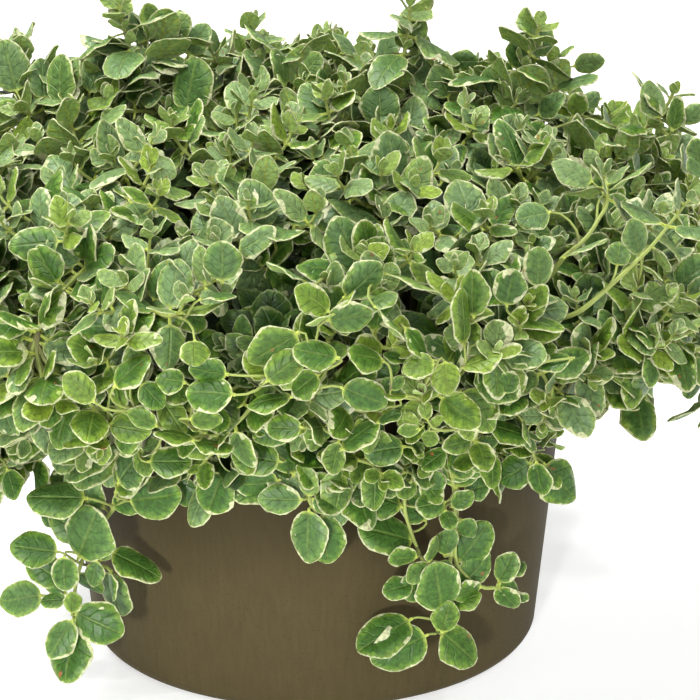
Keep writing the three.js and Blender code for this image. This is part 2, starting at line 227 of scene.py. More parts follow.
class NodeBoard:
    """A short hand for wiring a finish's nodes."""

    def __init__(self, name: str) -> None:
        """Makes a material with one Principled shader.

        Args:
            name: The material's name.
        """
        self.material = bpy.data.materials.new(name)
        self.material.use_nodes = True
        self.nodes = self.material.node_tree.nodes
        self.links = self.material.node_tree.links
        self.shader = self.nodes["Principled BSDF"]

    def add(self, kind: str, *wires: Wire, **settings: str) -> bpy.types.Node:
        """Adds a node and feeds its first inputs.

        Args:
            kind: The node's type.
            wires: For each input in turn, a socket, a value, or None to leave it.
            settings: The node's own settings.

        Returns:
            The new node.
        """
        node = self.nodes.new(kind)
        for label, value in settings.items():
            setattr(node, label, value)
        for socket, wire in zip(node.inputs, wires):
            self.feed(socket, wire)
        return node

    def feed(self, socket: Socket, wire: Wire) -> None:
        """Links a socket to an output or sets its value.

        Args:
            socket: The input socket.
            wire: A socket, a value, or None to leave it.
        """
        if isinstance(wire, Socket):
            self.links.new(wire, socket)
        elif wire is not None:
            socket.default_value = wire

    def sum(self, kind: Sum, *terms: Wire) -> Socket:
        """The result of a sum on numbers."""
        return self.add("ShaderNodeMath", *terms, operation=kind.value).outputs[0]

    def ease(self, value: Wire, low: float, high: float) -> Socket:
        """Eases a number from nought at one level to one at another.

        Args:
            value: The number's socket.
            low: The level that gives nought.
            high: The level that gives one.

        Returns:
            The eased number, from nought to one.
        """
        node = self.add("ShaderNodeMapRange", value, interpolation_type="SMOOTHSTEP")
        if low < high:
            self.feed(node.inputs["From Min"], low)
            self.feed(node.inputs["From Max"], high)
            return node.outputs[0]
        self.feed(node.inputs["From Min"], high)
        self.feed(node.inputs["From Max"], low)
        return self.sum(Sum.SUBTRACT, 1.0, node.outputs[0])

    def blend(self, share: Wire, first: Wire, second: Wire, way: Mix = Mix.PLAIN) -> Socket:
        """Mixes two colours.

        Args:
            share: How much of the second is taken.
            first: A colour, or its socket.
            second: A colour, or its socket.
            way: How the two are mixed.

        Returns:
            The mixed colour's socket.
        """
        node = self.add("ShaderNodeMix", data_type="RGBA", blend_type=way.value)
        for number, wire in ((MIX_FACTOR, share), (MIX_FIRST, first), (MIX_SECOND, second)):
            plain = isinstance(wire, tuple) and len(wire) == 3
            self.feed(node.inputs[number], (*wire, 1.0) if plain else wire)
        return node.outputs[MIX_RESULT]

    def reading(self, label: str) -> list[Socket]:
        """Reads a vector that the mesh holds at its corners, as three numbers."""
        source = self.add("ShaderNodeAttribute", attribute_name=label)
        return list(self.add("ShaderNodeSeparateXYZ", source.outputs["Vector"]).outputs)

    def number(self, label: str) -> Socket:
        """Reads a number that the mesh holds at its corners."""
        return self.add("ShaderNodeAttribute", attribute_name=label).outputs["Fac"]

    def spots(self, scale: float, detail: float = 2.0, stretch: tuple | None = None) -> Socket:
        """Makes cloudy noise in the piece's own space.

        Args:
            scale: How many clouds there are to a metre.
            detail: How many finer layers are added.
            stretch: Factors on X, Y and Z, for grain.

        Returns:
            The noise's socket, from nought to one.
        """
        space = self.add("ShaderNodeTexCoord").outputs["Object"]
        if stretch:
            space = self.add("ShaderNodeVectorMath", space, stretch, operation=Sum.TIMES.value).outputs[0]
        noise = self.add("ShaderNodeTexNoise", space)
        self.feed(noise.inputs["Scale"], scale)
        self.feed(noise.inputs["Detail"], detail)
        return noise.outputs["Fac"]

    def surface(self, colour: Socket, roughness: Wire, specular: float) -> None:
        """Sets the shader's main values.

        Args:
            colour: A colour's socket.
            roughness: A number, or its socket.
            specular: How strongly it mirrors.
        """
        self.feed(self.shader.inputs["Base Color"], colour)
        self.feed(self.shader.inputs["Roughness"], roughness)
        self.shader.inputs["Specular IOR Level"].default_value = specular

    def relief(self, height: Socket, depth: float, strength: float) -> None:
        """Raises the finish by a height.

        Args:
            height: The height's socket, from nought to one.
            depth: What one stands for, in metres.
            strength: How strongly the light follows it.
        """
        node = self.add("ShaderNodeBump")
        self.feed(node.inputs["Height"], height)
        self.feed(node.inputs["Distance"], depth)
        self.feed(node.inputs["Strength"], strength)
        self.feed(self.shader.inputs["Normal"], node.outputs[0])


@dataclass(frozen=True)
class LeafFinish:
    """The cream-edged green of a leaf, with its veins, its pale underside and its soft bloom, and with
    painted light: painted shade on leaves deep in the mound, on low leaves and in the vein grooves, painted
    sheen on high leaves, and a painted glow on the underside.

    Levels of distance to the edge are in millimetres of a full leaf, and scales are clouds to a metre.
    """

    young: tuple = (0.170, 0.245, 0.026)
    grown: tuple = (0.056, 0.128, 0.014)
    greyish: tuple = (0.150, 0.222, 0.100)
    deep: tuple = (0.014, 0.054, 0.005)
    cream: tuple = (0.395, 0.41, 0.235)
    pale_under: tuple = (0.28, 0.405, 0.13)
    petiole: tuple = (0.36, 0.42, 0.08)
    rust: tuple = (0.25, 0.08, 0.025)
    shade: tuple = (0.13, 0.21, 0.07)
    rim_width: float = 0.07
    rim_spread: float = 1.6
    patch_width: float = 3.0
    rim_clouds: float = 650.0
    rim_level: float = 0.42
    rim_soft: tuple = (0.25, -0.15)
    patch_clouds: float = 190.0
    patch_levels: tuple = (0.54, 0.68)
    share_width: float = 0.2
    vein_pairs: float = 4.6
    vein_slant: float = 1.2
    vein_wander: float = 0.9
    vein_clouds: float = 300.0
    vein_line: tuple = (0.15, 0.0)
    vein_dark: float = 0.28
    midrib_line: tuple = (0.11, 0.02)
    midrib_pale: float = 0.1
    grown_at: float = 0.75
    grey_most: float = 0.75
    lime_most: float = 0.55
    ragged_clouds: float = 460.0
    ragged_by: float = 4.0
    border_line: tuple = (1.9, 0.4)
    border_most: float = 0.42
    heart_line: tuple = (1.2, 3.0)
    heart_most: float = 0.62
    heart_age: float = 0.5
    heart_on_grey: float = -0.8
    under_most: float = 0.8
    petiole_line: tuple = (0.1, -0.03)
    rust_clouds: float = 230.0
    rust_levels: tuple = (0.735, 0.77)
    rust_most: float = 0.8
    mottle_clouds: float = 800.0
    mottle_by: float = 1.7
    mottle_from: float = 0.17
    bloom_clouds: float = 1400.0
    bloom_by: float = 0.2
    bloom_from: float = 0.32
    under_rough: float = 0.2
    specular: float = 0.24
    glow_through: float = 0.35
    glow_radius: tuple = (1.0, 1.0, 0.4)
    glow_scale: float = 0.8 * MM
    puckers: float = 1200.0
    pucker_height: float = 0.3
    groove: float = 0.5
    relief_depth: float = 0.5 * MM
    relief_strength: float = 0.6

    def veins(self, board: NodeBoard, along: Socket, across: Socket) -> Socket:
        """Draws the side veins, which leave the midrib in turn and sweep forward.

        Args:
            board: The finish's nodes.
            along: How far along the blade.
            across: How far across it.

        Returns:
            One on a vein and nought between two.
        """
        way = board.sum(Sum.SIZE, across)
        other_side = board.sum(Sum.TIMES, board.sum(Sum.OVER, across, 0.0), 0.5)
        phase = board.sum(Sum.TIMES, along, self.vein_pairs)
        phase = board.sum(Sum.SUBTRACT, phase, board.sum(Sum.TIMES, way, self.vein_slant))
        phase = board.sum(Sum.ADD, phase, other_side)
        phase = board.sum(Sum.TIMES_ADD, board.spots(self.vein_clouds, detail=1.0), self.vein_wander, phase)
        return board.ease(board.sum(Sum.TO_AND_FRO, phase, 0.5), *self.vein_line)

    def greens(self, board: NodeBoard, age: Socket, hue: Socket, edge: Socket) -> Socket:
        """Mixes the green of the blade from its age, its hue and its mottling.

        Args:
            board: The finish's nodes.
            age: Nought on the youngest leaves and one on the oldest, raised by painted shade on leaves deep
                in the mound and low down.
            hue: Below nought towards lime and above it towards grey; on leaves high up it is raised as
                painted sheen.
            edge: The distance to the blade's edge in millimetres.

        Returns:
            The green's socket.
        """
        green = board.blend(board.ease(age, 0.0, self.grown_at), self.young, self.grown)
        # On leaves high up the grey is partly painted sheen.
        grey = board.sum(Sum.TIMES, board.ease(hue, 0.0, 1.0), self.grey_most)
        green = board.blend(grey, green, self.greyish)
        lime = board.sum(Sum.TIMES, board.ease(hue, 0.0, -1.0), self.lime_most)
        green = board.blend(lime, green, self.young)
        clouds = board.spots(self.ragged_clouds)
        ragged = board.sum(Sum.TIMES_ADD, clouds, self.ragged_by, -0.5 * self.ragged_by)
        inward = board.sum(Sum.ADD, edge, ragged)
        border = board.sum(Sum.TIMES, board.ease(inward, *self.border_line), self.border_most)
        green = board.blend(border, green, self.young)
        heart = board.sum(Sum.TIMES, board.ease(inward, *self.heart_line), self.heart_most)
        heart = board.sum(Sum.TIMES, heart, board.ease(age, 0.0, self.heart_age))
        on_grey = board.sum(Sum.TIMES_ADD, grey, self.heart_on_grey, 1.0)
        heart = board.sum(Sum.TIMES, heart, on_grey)
        return board.blend(heart, green, self.deep)

    def cream_mask(self, board: NodeBoard, edge: Socket, share: Socket) -> Socket:
        """Finds where the blade is cream: a ragged rim, and wider patches on some leaves.

        Args:
            board: The finish's nodes.
            edge: The distance to the blade's edge in millimetres.
            share: How much cream the leaf has, from nought to one.

        Returns:
            One on cream and nought on green.
        """
        ragged = board.sum(Sum.SUBTRACT, board.spots(self.rim_clouds, detail=3.0), self.rim_level)
        width = board.sum(Sum.TIMES_ADD, ragged, self.rim_spread, self.rim_width)
        patch = board.ease(board.spots(self.patch_clouds, detail=1.0), *self.patch_levels)
        patch = board.sum(Sum.TIMES, patch, self.patch_width)
        width = board.sum(Sum.TIMES_ADD, patch, share, width)
        width = board.sum(Sum.TIMES_ADD, share, self.share_width, width)
        return board.ease(board.sum(Sum.SUBTRACT, edge, width), *self.rim_soft)

    def material(self) -> Material:
        """Makes the finish's material.

        Returns:
            The material.
        """
        board = NodeBoard("leaf_green_and_cream")
        along, across, edge = board.reading("place")
        age, hue, cream = board.reading("tone")
        under = board.number("under")
        veins = self.veins(board, along, across)
        midrib = board.ease(board.sum(Sum.SIZE, across), *self.midrib_line)
        green = self.greens(board, age, hue, edge)
        # Painted shade in the sunken vein grooves: the side veins are darkened towards the deep green.
        green = board.blend(board.sum(Sum.TIMES, veins, self.vein_dark), green, self.deep)
        green = board.blend(board.sum(Sum.TIMES, midrib, self.midrib_pale), green, self.petiole)
        # The underside is its own paler green, lifted further as a painted glow of light shining through
        # the leaf.
        pale = board.blend(board.sum(Sum.GREATEST, veins, midrib), self.pale_under, self.petiole)
        colour = board.blend(under, green, board.blend(self.under_most, green, pale))
        colour = board.blend(self.cream_mask(board, edge, cream), colour, self.cream)
        colour = board.blend(board.ease(along, *self.petiole_line), colour, self.petiole)
        rust = board.ease(board.spots(self.rust_clouds), *self.rust_levels)
        colour = board.blend(board.sum(Sum.TIMES, rust, self.rust_most), colour, self.rust)
        clouds = board.spots(self.mottle_clouds, detail=3.0)
        mottle = board.sum(Sum.TIMES_ADD, clouds, self.mottle_by, self.mottle_from)
        colour = board.blend(1.0, colour, mottle, Mix.TIMES)
        # Painted shade: leaves whose age runs past one, deep in the mound and low down, are multiplied
        # towards the shade colour.
        colour = board.blend(board.ease(age, 1.0, 2.0), colour, self.shade, Mix.TIMES)
        bloom = board.sum(Sum.TIMES_ADD, board.spots(self.bloom_clouds), self.bloom_by, self.bloom_from)
        board.surface(colour, board.sum(Sum.TIMES_ADD, under, self.under_rough, bloom), self.specular)
        board.shader.inputs["Subsurface Weight"].default_value = self.glow_through
        board.shader.inputs["Subsurface Radius"].default_value = self.glow_radius
        board.shader.inputs["Subsurface Scale"].default_value = self.glow_scale
        grooves = board.sum(Sum.GREATEST, board.sum(Sum.TIMES, veins, self.groove), midrib)
        puckers = board.sum(Sum.TIMES, board.spots(self.puckers), self.pucker_height)
        height = board.sum(Sum.SUBTRACT, puckers, grooves)
        height = board.sum(Sum.TIMES, height, board.sum(Sum.TIMES_ADD, under, -2.0, 1.0))
        board.relief(height, self.relief_depth, self.relief_strength)
        return board.material


@dataclass(frozen=True)
class StalkFinish:
    """The pale green of a stalk, browner towards the soil."""

    fresh: tuple = (0.27, 0.33, 0.08)
    woody: tuple = (0.11, 0.10, 0.04)
    woody_to: float = 0.45
    grain_scale: float = 500.0
    grain_stretch: tuple = (1.0, 1.0, 0.25)
    grain_share: float = 0.35
    smooth: float = 0.5
    rough_by: float = 0.2
    specular: float = 0.3
    relief_depth: float = 0.2 * MM
    relief_strength: float = 0.4

    def material(self) -> Material:
        """Makes the finish's material.

        Returns:
            The material.
        """
        board = NodeBoard("stalk_pale_green")
        along = board.reading("place")[0]
        grain = board.spots(self.grain_scale, stretch=self.grain_stretch)
        colour = board.blend(board.ease(along, self.woody_to, 0.0), self.fresh, self.woody)
        colour = board.blend(board.sum(Sum.TIMES, grain, self.grain_share), colour, self.woody)
        board.surface(colour, board.sum(Sum.TIMES_ADD, grain, self.rough_by, self.smooth), self.specular)
        board.relief(grain, self.relief_depth, self.relief_strength)
        return board.material


@dataclass(frozen=True)
class PotFinish:
    """Satin taupe-brown, lightly speckled, with warm patches, and with painted light that makes the wall
    lighter and warmer low down.
    """

    brown: tuple = (0.034, 0.0265, 0.0119)
    warm: tuple = (0.056, 0.0440, 0.0194)
    dark: tuple = (0.018, 0.014, 0.0072)
    warm_levels: tuple = (85 * MM, 35 * MM)
    cloud_scale: float = 14.0
    cloud_levels: tuple = (0.12, 0.88)
    low_share: float = 0.5
    speck_scale: float = 1500.0
    speck_levels: tuple = (0.55, 0.75)
    speck_share: float = 0.35
    grain_scale: float = 700.0
    grain_stretch: tuple = (1.0, 1.0, 0.12)
    streak_by: float = 0.3
    streak_from: float = 0.85
    smooth: float = 0.5
    rough_by: float = 0.16
    specular: float = 0.05
    relief_depth: float = 0.08 * MM
    relief_strength: float = 0.35

    def material(self) -> Material:
        """Makes the finish's material.

        Returns:
            The material.
        """
        board = NodeBoard("pot_satin_brown")
        height = board.add("ShaderNodeSeparateXYZ", board.add("ShaderNodeTexCoord").outputs["Object"])
        # Painted light: the wall is lighter and warmer towards its foot.
        low = board.ease(height.outputs["Z"], *self.warm_levels)
        clouds = board.sum(Sum.TIMES, board.spots(self.cloud_scale, detail=3.0), 1.0 - self.low_share)
        clouds = board.sum(Sum.TIMES_ADD, low, self.low_share, clouds)
        fine = board.spots(self.speck_scale)
        grain = board.spots(self.grain_scale, stretch=self.grain_stretch)
        colour = board.blend(board.ease(clouds, *self.cloud_levels), self.brown, self.warm)
        specks = board.sum(Sum.TIMES, board.ease(fine, *self.speck_levels), self.speck_share)
        colour = board.blend(specks, colour, self.dark)
        streak = board.sum(Sum.TIMES_ADD, grain, self.streak_by, self.streak_from)
        colour = board.blend(1.0, colour, streak, Mix.TIMES)
        board.surface(colour, board.sum(Sum.TIMES_ADD, fine, self.rough_by, self.smooth), self.specular)
        board.relief(board.sum(Sum.ADD, fine, grain), self.relief_depth, self.relief_strength)
        return board.material


@dataclass(frozen=True)
class SoilFinish:
    """Dark potting soil with paler fibres."""

    dark: tuple = (0.022, 0.015, 0.010)
    brown: tuple = (0.085, 0.055, 0.034)
    fibre: tuple = (0.20, 0.145, 0.09)
    crumb_scale: float = 260.0
    crumb_levels: tuple = (0.35, 0.65)
    fine_scale: float = 1100.0
    fibre_levels: tuple = (0.64, 0.72)
    smooth: float = 0.88
    rough_by: float = 0.1
    specular: float = 0.15
    relief_depth: float = 1.2 * MM
    relief_strength: float = 0.8

    def material(self) -> Material:
        """Makes the finish's material.

        Returns:
            The material.
        """
        board = NodeBoard("soil_dark_crumb")
        crumb = board.spots(self.crumb_scale, detail=4.0)
        fine = board.spots(self.fine_scale, detail=3.0)
        colour = board.blend(board.ease(crumb, *self.crumb_levels), self.dark, self.brown)
        colour = board.blend(board.ease(fine, *self.fibre_levels), colour, self.fibre)
        board.surface(colour, board.sum(Sum.TIMES_ADD, fine, self.rough_by, self.smooth), self.specular)
        board.relief(board.sum(Sum.ADD, crumb, fine), self.relief_depth, self.relief_strength)
        return board.material


@dataclass(frozen=True)
class FloorFinish:
    """A plain pale floor."""

    pale: tuple = (0.7, 0.7, 0.7)
    white: tuple = (1.0, 1.0, 1.0, 1.0)
    glow: float = 0.46
    cloud_scale: float = 3.0
    cloud_by: float = 0.01
    cloud_from: float = 0.995
    roughness: float = 0.9
    specular: float = 0.1

    def material(self) -> Material:
        """Makes the finish's material.

        Returns:
            The material.
        """
        board = NodeBoard("floor_pale")
        clouds = board.sum(Sum.TIMES_ADD, board.spots(self.cloud_scale), self.cloud_by, self.cloud_from)
        colour = board.blend(1.0, self.pale, clouds, Mix.TIMES)
        board.surface(colour, self.roughness, self.specular)
        board.shader.inputs["Emission Color"].default_value = self.white
        board.shader.inputs["Emission Strength"].default_value = self.glow
        return board.material


@dataclass
class Turning:
    """A shape turned about the Z axis."""

    segments: int = 160

    def faces(self, rings: int) -> list[list[int]]:
        """The faces between the rings of corners, with a fan at each end.

        Args:
            rings: How many rings there are between the two middle corners.

        Returns:
            The corner numbers of each face.
        """
        count = self.segments
        faces = []
        for k in range(count):
            beside = (k + 1) % count
            faces.append([0, 1 + beside, 1 + k])
            for ring in range(rings - 1):
                low, high = 1 + ring * count, 1 + (ring + 1) * count
                faces.append([low + k, low + beside, high + beside, high + k])
            top = 1 + (rings - 1) * count
            faces.append([top + k, top + beside, 1 + rings * count])
        return faces

    def points(self, profile: Array) -> Array:
        """Turns a profile that starts and ends on the axis.

        Args:
            profile: Radius and height of each point.

        Returns:
            The corners: the first middle one, the rings, and the last middle one.
        """
        turns = np.arange(self.segments) / self.segments * 2 * math.pi
        rings = []
        for radius, height in profile[1:-1]:
            level = np.full(self.segments, height)
            rings.append(np.stack([radius * np.cos(turns), radius * np.sin(turns), level], axis=-1))
        ends = [np.array([[0.0, 0.0, profile[i][1]]]) for i in (0, -1)]
        return np.concatenate([ends[0], *rings, ends[1]])


@dataclass
class Pot:
    """The pot: a tapering shell with a rounded bottom edge and drain holes."""

    height: float = 128 * MM
    top_radius: float = 90 * MM
    base_radius: float = 76.5 * MM
    wall: float = 3 * MM
    floor: float = 3.5 * MM
    lip_round: float = 1 * MM
    lip_steps: int = 3
    edge_round: float = 6 * MM
    edge_steps: int = 8
    wall_steps: int = 6
    drains: int = 4
    drain_radius: float = 5 * MM
    drain_ring: float = 42 * MM
    drain_sides: int = 32
    crease: float = math.radians(40)
    turning: Turning = field(default_factory=Turning)

    def radius_at(self, height: float) -> float:
        """The radius of the outer wall at a height."""
        return self.base_radius + (self.top_radius - self.base_radius) * height / self.height

    def profile(self) -> Array:
        """The shell's section, from the middle of its underside to the middle of its inner floor.

        Returns:
            Radius and height of each point.
        """
        points = [[0.0, 0.0], [self.drain_ring, 0.0]]
        edge = self.radius_at(self.edge_round)
        for turn in np.linspace(0, math.pi / 2, self.edge_steps + 1):
            points.append([edge - self.edge_round * (1 - math.sin(turn)),
                           self.edge_round * (1 - math.cos(turn))])
        lip = self.height - self.lip_round
        for height in np.linspace(self.edge_round, lip, self.wall_steps + 1)[1:]:
            points.append([self.radius_at(height), height])
        for turn in np.linspace(0, math.pi / 2, self.lip_steps + 1)[1:]:
            points.append([self.top_radius - self.lip_round * (1 - math.cos(turn)),
                           lip + self.lip_round * math.sin(turn)])
        points.append([self.top_radius - self.wall, self.height])
        points.append([self.radius_at(self.floor) - self.wall, self.floor])
        points += [[self.drain_ring, self.floor], [0.0, self.floor]]
        return np.array(points)

    def drain_cutter(self) -> Piece:
        """One object with a plug for each drain hole.

        Returns:
            The plugs.
        """
        plug = Turning(self.drain_sides)
        below, above = -self.floor, 2 * self.floor
        profile = np.array([[0, below], [self.drain_radius, below], [self.drain_radius, above], [0, above]])
        points, faces = [], []
        for i in range(self.drains):
            turn = (i + 0.5) / self.drains * 2 * math.pi
            middle = np.array([self.drain_ring * math.cos(turn), self.drain_ring * math.sin(turn), 0.0])
            start = sum(len(part) for part in points)
            points.append(plug.points(profile) + middle)
            faces += [[start + corner for corner in face] for face in plug.faces(2)]
        return make_mesh("drain_plugs", np.concatenate(points), faces)

    def build(self, finish: Material) -> Piece:
        """Builds the pot.

        Args:
            finish: Its finish.

        Returns:
            The piece.
        """
        profile = self.profile()
        faces = self.turning.faces(len(profile) - 2)
        piece = make_mesh("pot_shell", self.turning.points(profile), faces)
        cutter = self.drain_cutter()
        cut = piece.modifiers.new("Drain holes", "BOOLEAN")
        cut.operation, cut.solver, cut.object = "DIFFERENCE", "EXACT", cutter
        depsgraph = bpy.context.evaluated_depsgraph_get()
        whole = bpy.data.meshes.new_from_object(piece.evaluated_get(depsgraph))
        piece.modifiers.clear()
        piece.data = whole
        bpy.data.objects.remove(cutter)
        whole.set_sharp_from_angle(angle=self.crease)
        whole.materials.clear()
        whole.materials.append(finish)
        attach(piece, ROOT_BODY)
        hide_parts("pot")
        return piece


@dataclass
class Soil:
    """The soil: a turned block that fills the pot, crumbly on top."""

    top: float = 114 * MM
    bottom: float = 3.8 * MM
    pot: Pot = field(default_factory=Pot)
    seat_gap: float = 0.45 * MM
    rings: int = 34
    segments: int = 110
    roughness: float = 1.6 * MM
    shift: float = 0.5 * MM
    crease: float = math.radians(60)
    seed: int = 77

    def build(self, finish: Material) -> Piece:
        """Builds the soil.

        Args:
            finish: Its finish.

        Returns:
            The piece.
        """
        inset = self.pot.wall + self.seat_gap
        foot = self.pot.radius_at(self.bottom) - inset
        rim = self.pot.radius_at(self.top) - inset
        profile = [[0.0, self.bottom], [foot, self.bottom]]
        profile += [[rim * share, self.top] for share in np.linspace(1, 0, self.rings)]
        turning = Turning(self.segments)
        points = turning.points(np.array(profile))
        reach = np.hypot(points[:, 0], points[:, 1])
        on_top = (points[:, 2] > self.top - MM) & (reach < rim - MM)
        random = np.random.default_rng(self.seed)
        points[on_top, 2] -= self.roughness * random.uniform(0, 1, on_top.sum()) ** 2
        points[on_top, :2] += self.shift * random.uniform(-0.5, 0.5, (on_top.sum(), 2))
        piece = make_mesh("soil_block", points, turning.faces(len(profile) - 2))
        piece.data.set_sharp_from_angle(angle=self.crease)
        piece.data.materials.append(finish)
        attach(piece, ROOT_BODY)
        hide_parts("soil")
        return piece


@dataclass
class Mound:
    """The surface that the shoot tips reach: a flat dome over a skirt that tucks in again."""

    radius: float = 146 * MM
    top: float = 184 * MM
    bulge_height: float = 138 * MM
    power: float = 2.8
    skirt_radius: float = 100 * MM
    skirt_height: float = 92 * MM
    skirt_rise_to_right: float = 15 * MM
    rise_power: float = 1.0
    steps: int = 60

    def outline(self, step: float, turn: float) -> Array:
        """One point of the outline.

        Args:
            step: From nought at the top to two at the bottom of the skirt.
            turn: The turn about the Z axis.

        Returns:
            The point's radius and height.
        """
        if step <= 1:
            bend = step * math.pi / 2
            rise = max(math.cos(bend), 0.0) ** (2 / self.power)
            return np.array([
                self.radius * math.sin(bend) ** (2 / self.power),
                self.bulge_height + (self.top - self.bulge_height) * rise,
            ])
        bend = (step - 1) * math.pi / 2
        sideways = math.copysign(abs(math.cos(turn)) ** self.rise_power, math.cos(turn))
        skirt = self.skirt_height + self.skirt_rise_to_right * sideways
        return np.array([
            self.skirt_radius + (self.radius - self.skirt_radius) * math.cos(bend),
            self.bulge_height - (self.bulge_height - skirt) * math.sin(bend),
        ])

    def step_at(self, share: float) -> float:
        """The step of the outline above which a share of the mound's area lies.

        Args:
            share: The share of the area, from nought to one.

        Returns:
            The step, from nought to two.
        """
        steps = np.linspace(0, 2, self.steps + 1)
        points = np.array([self.outline(step, math.pi / 2) for step in steps])
        slants = np.linalg.norm(np.diff(points, axis=0), axis=1)
        areas = np.concatenate([[0], np.cumsum(slants * (points[1:, 0] + points[:-1, 0]))])
        return float(np.interp(share * areas[-1], areas, steps))

    def point(self, share: float, turn: float) -> Array:
        """The point with a share of the mound's area above it, at a turn about the Z axis."""
        radius, height = self.outline(self.step_at(share), turn)
        return np.array([radius * math.cos(turn), radius * math.sin(turn), height])

    def outward(self, share: float, turn: float) -> Array:
        """The direction out of the mound at such a point.

        Args:
            share: The share of the mound's area above it.
            turn: Its turn about the Z axis.

        Returns:
            A unit vector.
        """
        step = self.step_at(share)
        nudge = 0.5 / self.steps
        low, high = max(step - nudge, 0.0), min(step + nudge, 2.0)
        across, down = self.outline(high, turn) - self.outline(low, turn)
        return unit(np.array([-down * math.cos(turn), -down * math.sin(turn), across]))

    def depth(self, points: Array) -> Array:
        """How deep points lie under the surface, from above or from the side.

        Args:
            points: The points, one a row.

        Returns:
            The lesser of the two depths of each.
        """
        reach, height = np.hypot(points[:, 0], points[:, 1]), points[:, 2]
        inner = np.clip(1 - (reach / self.radius) ** self.power, 0, 1) ** (1 / self.power)
        roof = self.bulge_height + (self.top - self.bulge_height) * inner
        above = np.clip((height - self.bulge_height) / (self.top - self.bulge_height), 0, 1)
        below = np.clip((self.bulge_height - height) / (self.bulge_height - self.skirt_height), 0, 1)
        side = self.radius * (1 - above**self.power) ** (1 / self.power)
        tuck = self.skirt_radius + (self.radius - self.skirt_radius) * np.sqrt(1 - below**2)
        return np.minimum(roof - height, np.where(height > self.bulge_height, side, tuck) - reach)


class StalkLine:
    """The middle line of a stalk, with a steady frame carried from its foot to its tip."""

    most_along_x = 0.7

    def __init__(self, points: Array) -> None:
        """Measures the line.

        Args:
            points: The ends of its straight parts, from its foot to its tip.
        """
        self.points = points
        parts = np.linalg.norm(np.diff(self.points, axis=0), axis=1)
        self.reach = np.concatenate([[0], np.cumsum(parts)])
        self.tangents = unit(np.gradient(self.points, axis=0))
        sets_out_along_x = abs(self.tangents[0][0]) > self.most_along_x
        start = np.array([0.0, 1.0, 0.0] if sets_out_along_x else [1.0, 0.0, 0.0])
        normals = [square_to(start, self.tangents[0])]
        for tangent in self.tangents[1:]:
            normals.append(square_to(normals[-1], tangent))
        self.normals = np.array(normals)

    @classmethod
    def bent(cls, foot: Array, rise: Array, arrive: Array, tip: Array, steps: int = 24) -> "StalkLine":
        """Bends a line between two ends.

        Args:
            foot: Where it starts.
            rise: What it leaves towards.
            arrive: What it comes in from.
            tip: Where it ends.
            steps: How many straight parts it has.

        Returns:
            The line.
        """
        share = np.linspace(0, 1, steps + 1)[:, None]
        rest = 1 - share
        return cls(foot * rest**3 + rise * 3 * rest**2 * share
                   + arrive * 3 * rest * share**2 + tip * share**3)

    @classmethod
    def through(cls, knots: Array, steps: int = 4) -> "StalkLine":
        """Runs a smooth line through some knots.

        Args:
            knots: The knots, one a row.
            steps: How many straight parts there are between two.

        Returns:
            The line.
        """
        before = np.concatenate([2 * knots[:1] - knots[1:2], knots[:-2]])[:, None]
        start, end = knots[:-1, None], knots[1:, None]
        after = np.concatenate([knots[2:], 2 * knots[-1:] - knots[-2:-1]])[:, None]
        share = (np.arange(steps) / steps)[None, :, None]
        bend = (2 * before - 5 * start + 4 * end - after) * share**2
        bend = bend + (3 * (start - end) + after - before) * share**3
        points = start + 0.5 * ((end - before) * share + bend)
        return cls(np.concatenate([points.reshape(-1, 3), knots[-1:]]))

    @property
    def length(self) -> float:
        """The line's whole length."""
        return float(self.reach[-1])

    def spot(self, distance: float) -> tuple[Array, Array, Array]:
        """Finds a place by its distance from the foot.

        Args:
            distance: The length of line from the foot.

        Returns:
            The point, the tangent and the normal there.
        """
        values = []
        for source in (self.points, self.tangents, self.normals):
            values.append(np.array([np.interp(distance, self.reach, source[:, k]) for k in range(3)]))
        point, tangent = values[0], unit(values[1])
        return point, tangent, square_to(values[2], tangent)


class Cut(Enum):
    """How finely a leaf is divided into faces."""

    PLAIN = 0
    FINE = 1
    CLOSE = 2


@dataclass
class Leaf:
    """One leaf where it grows.

    Attributes:
        root: Where its petiole leaves the stalk.
        along: The way it sets out.
        face: The way its upper face looks.
        length: From the root to the tip.
        breadth: The blade's breadth over its length.
        petiole: The petiole's share of the length.
        widest: How far along the blade it is broadest.
        bend: How far it bends back along its length, in radians.
        fold: How much the halves rise from the midrib.
        twist: How far it twists along its length, in radians.
        wave: The phase of its edge's waves.
        age: Nought on the youngest and one on the oldest; painted shade raises it on leaves low down, and
            past one on leaves deep in the mound.
        hue: Below nought towards lime and above it towards grey; on leaves high up it is raised as painted
            sheen.
        cream: How much cream it has beyond its rim.
        detail: How finely it is cut.
    """

    root: Array
    along: Array
    face: Array
    length: float
    breadth: float
    petiole: float
    widest: float
    bend: float
    fold: float
    twist: float
    wave: float
    age: float
    hue: float
    cream: float
    detail: Cut = Cut.PLAIN


class LeafSet:
    """Many leaves at once, with a row for each."""

    def __init__(self, leaves: list[Leaf]) -> None:
        """Gathers the leaves' values."""
        self.values = {item.name: np.array([getattr(leaf, item.name) for leaf in leaves])
                       for item in fields(Leaf) if item.name != "detail"}

    def __len__(self) -> int:
        """How many leaves there are."""
        return len(self.values["length"])

    def column(self, name: str) -> Array:
        """One value of every leaf, as a column."""
        return self.values[name][:, None]

    def pick(self, chosen: Array) -> "LeafSet":
        """The chosen leaves, as a set of their own.

        Args:
            chosen: True for each of them, or their numbers.

        Returns:
            The set.
        """
        picked = LeafSet([])
        picked.values = {name: values[chosen] for name, values in self.values.items()}
        return picked


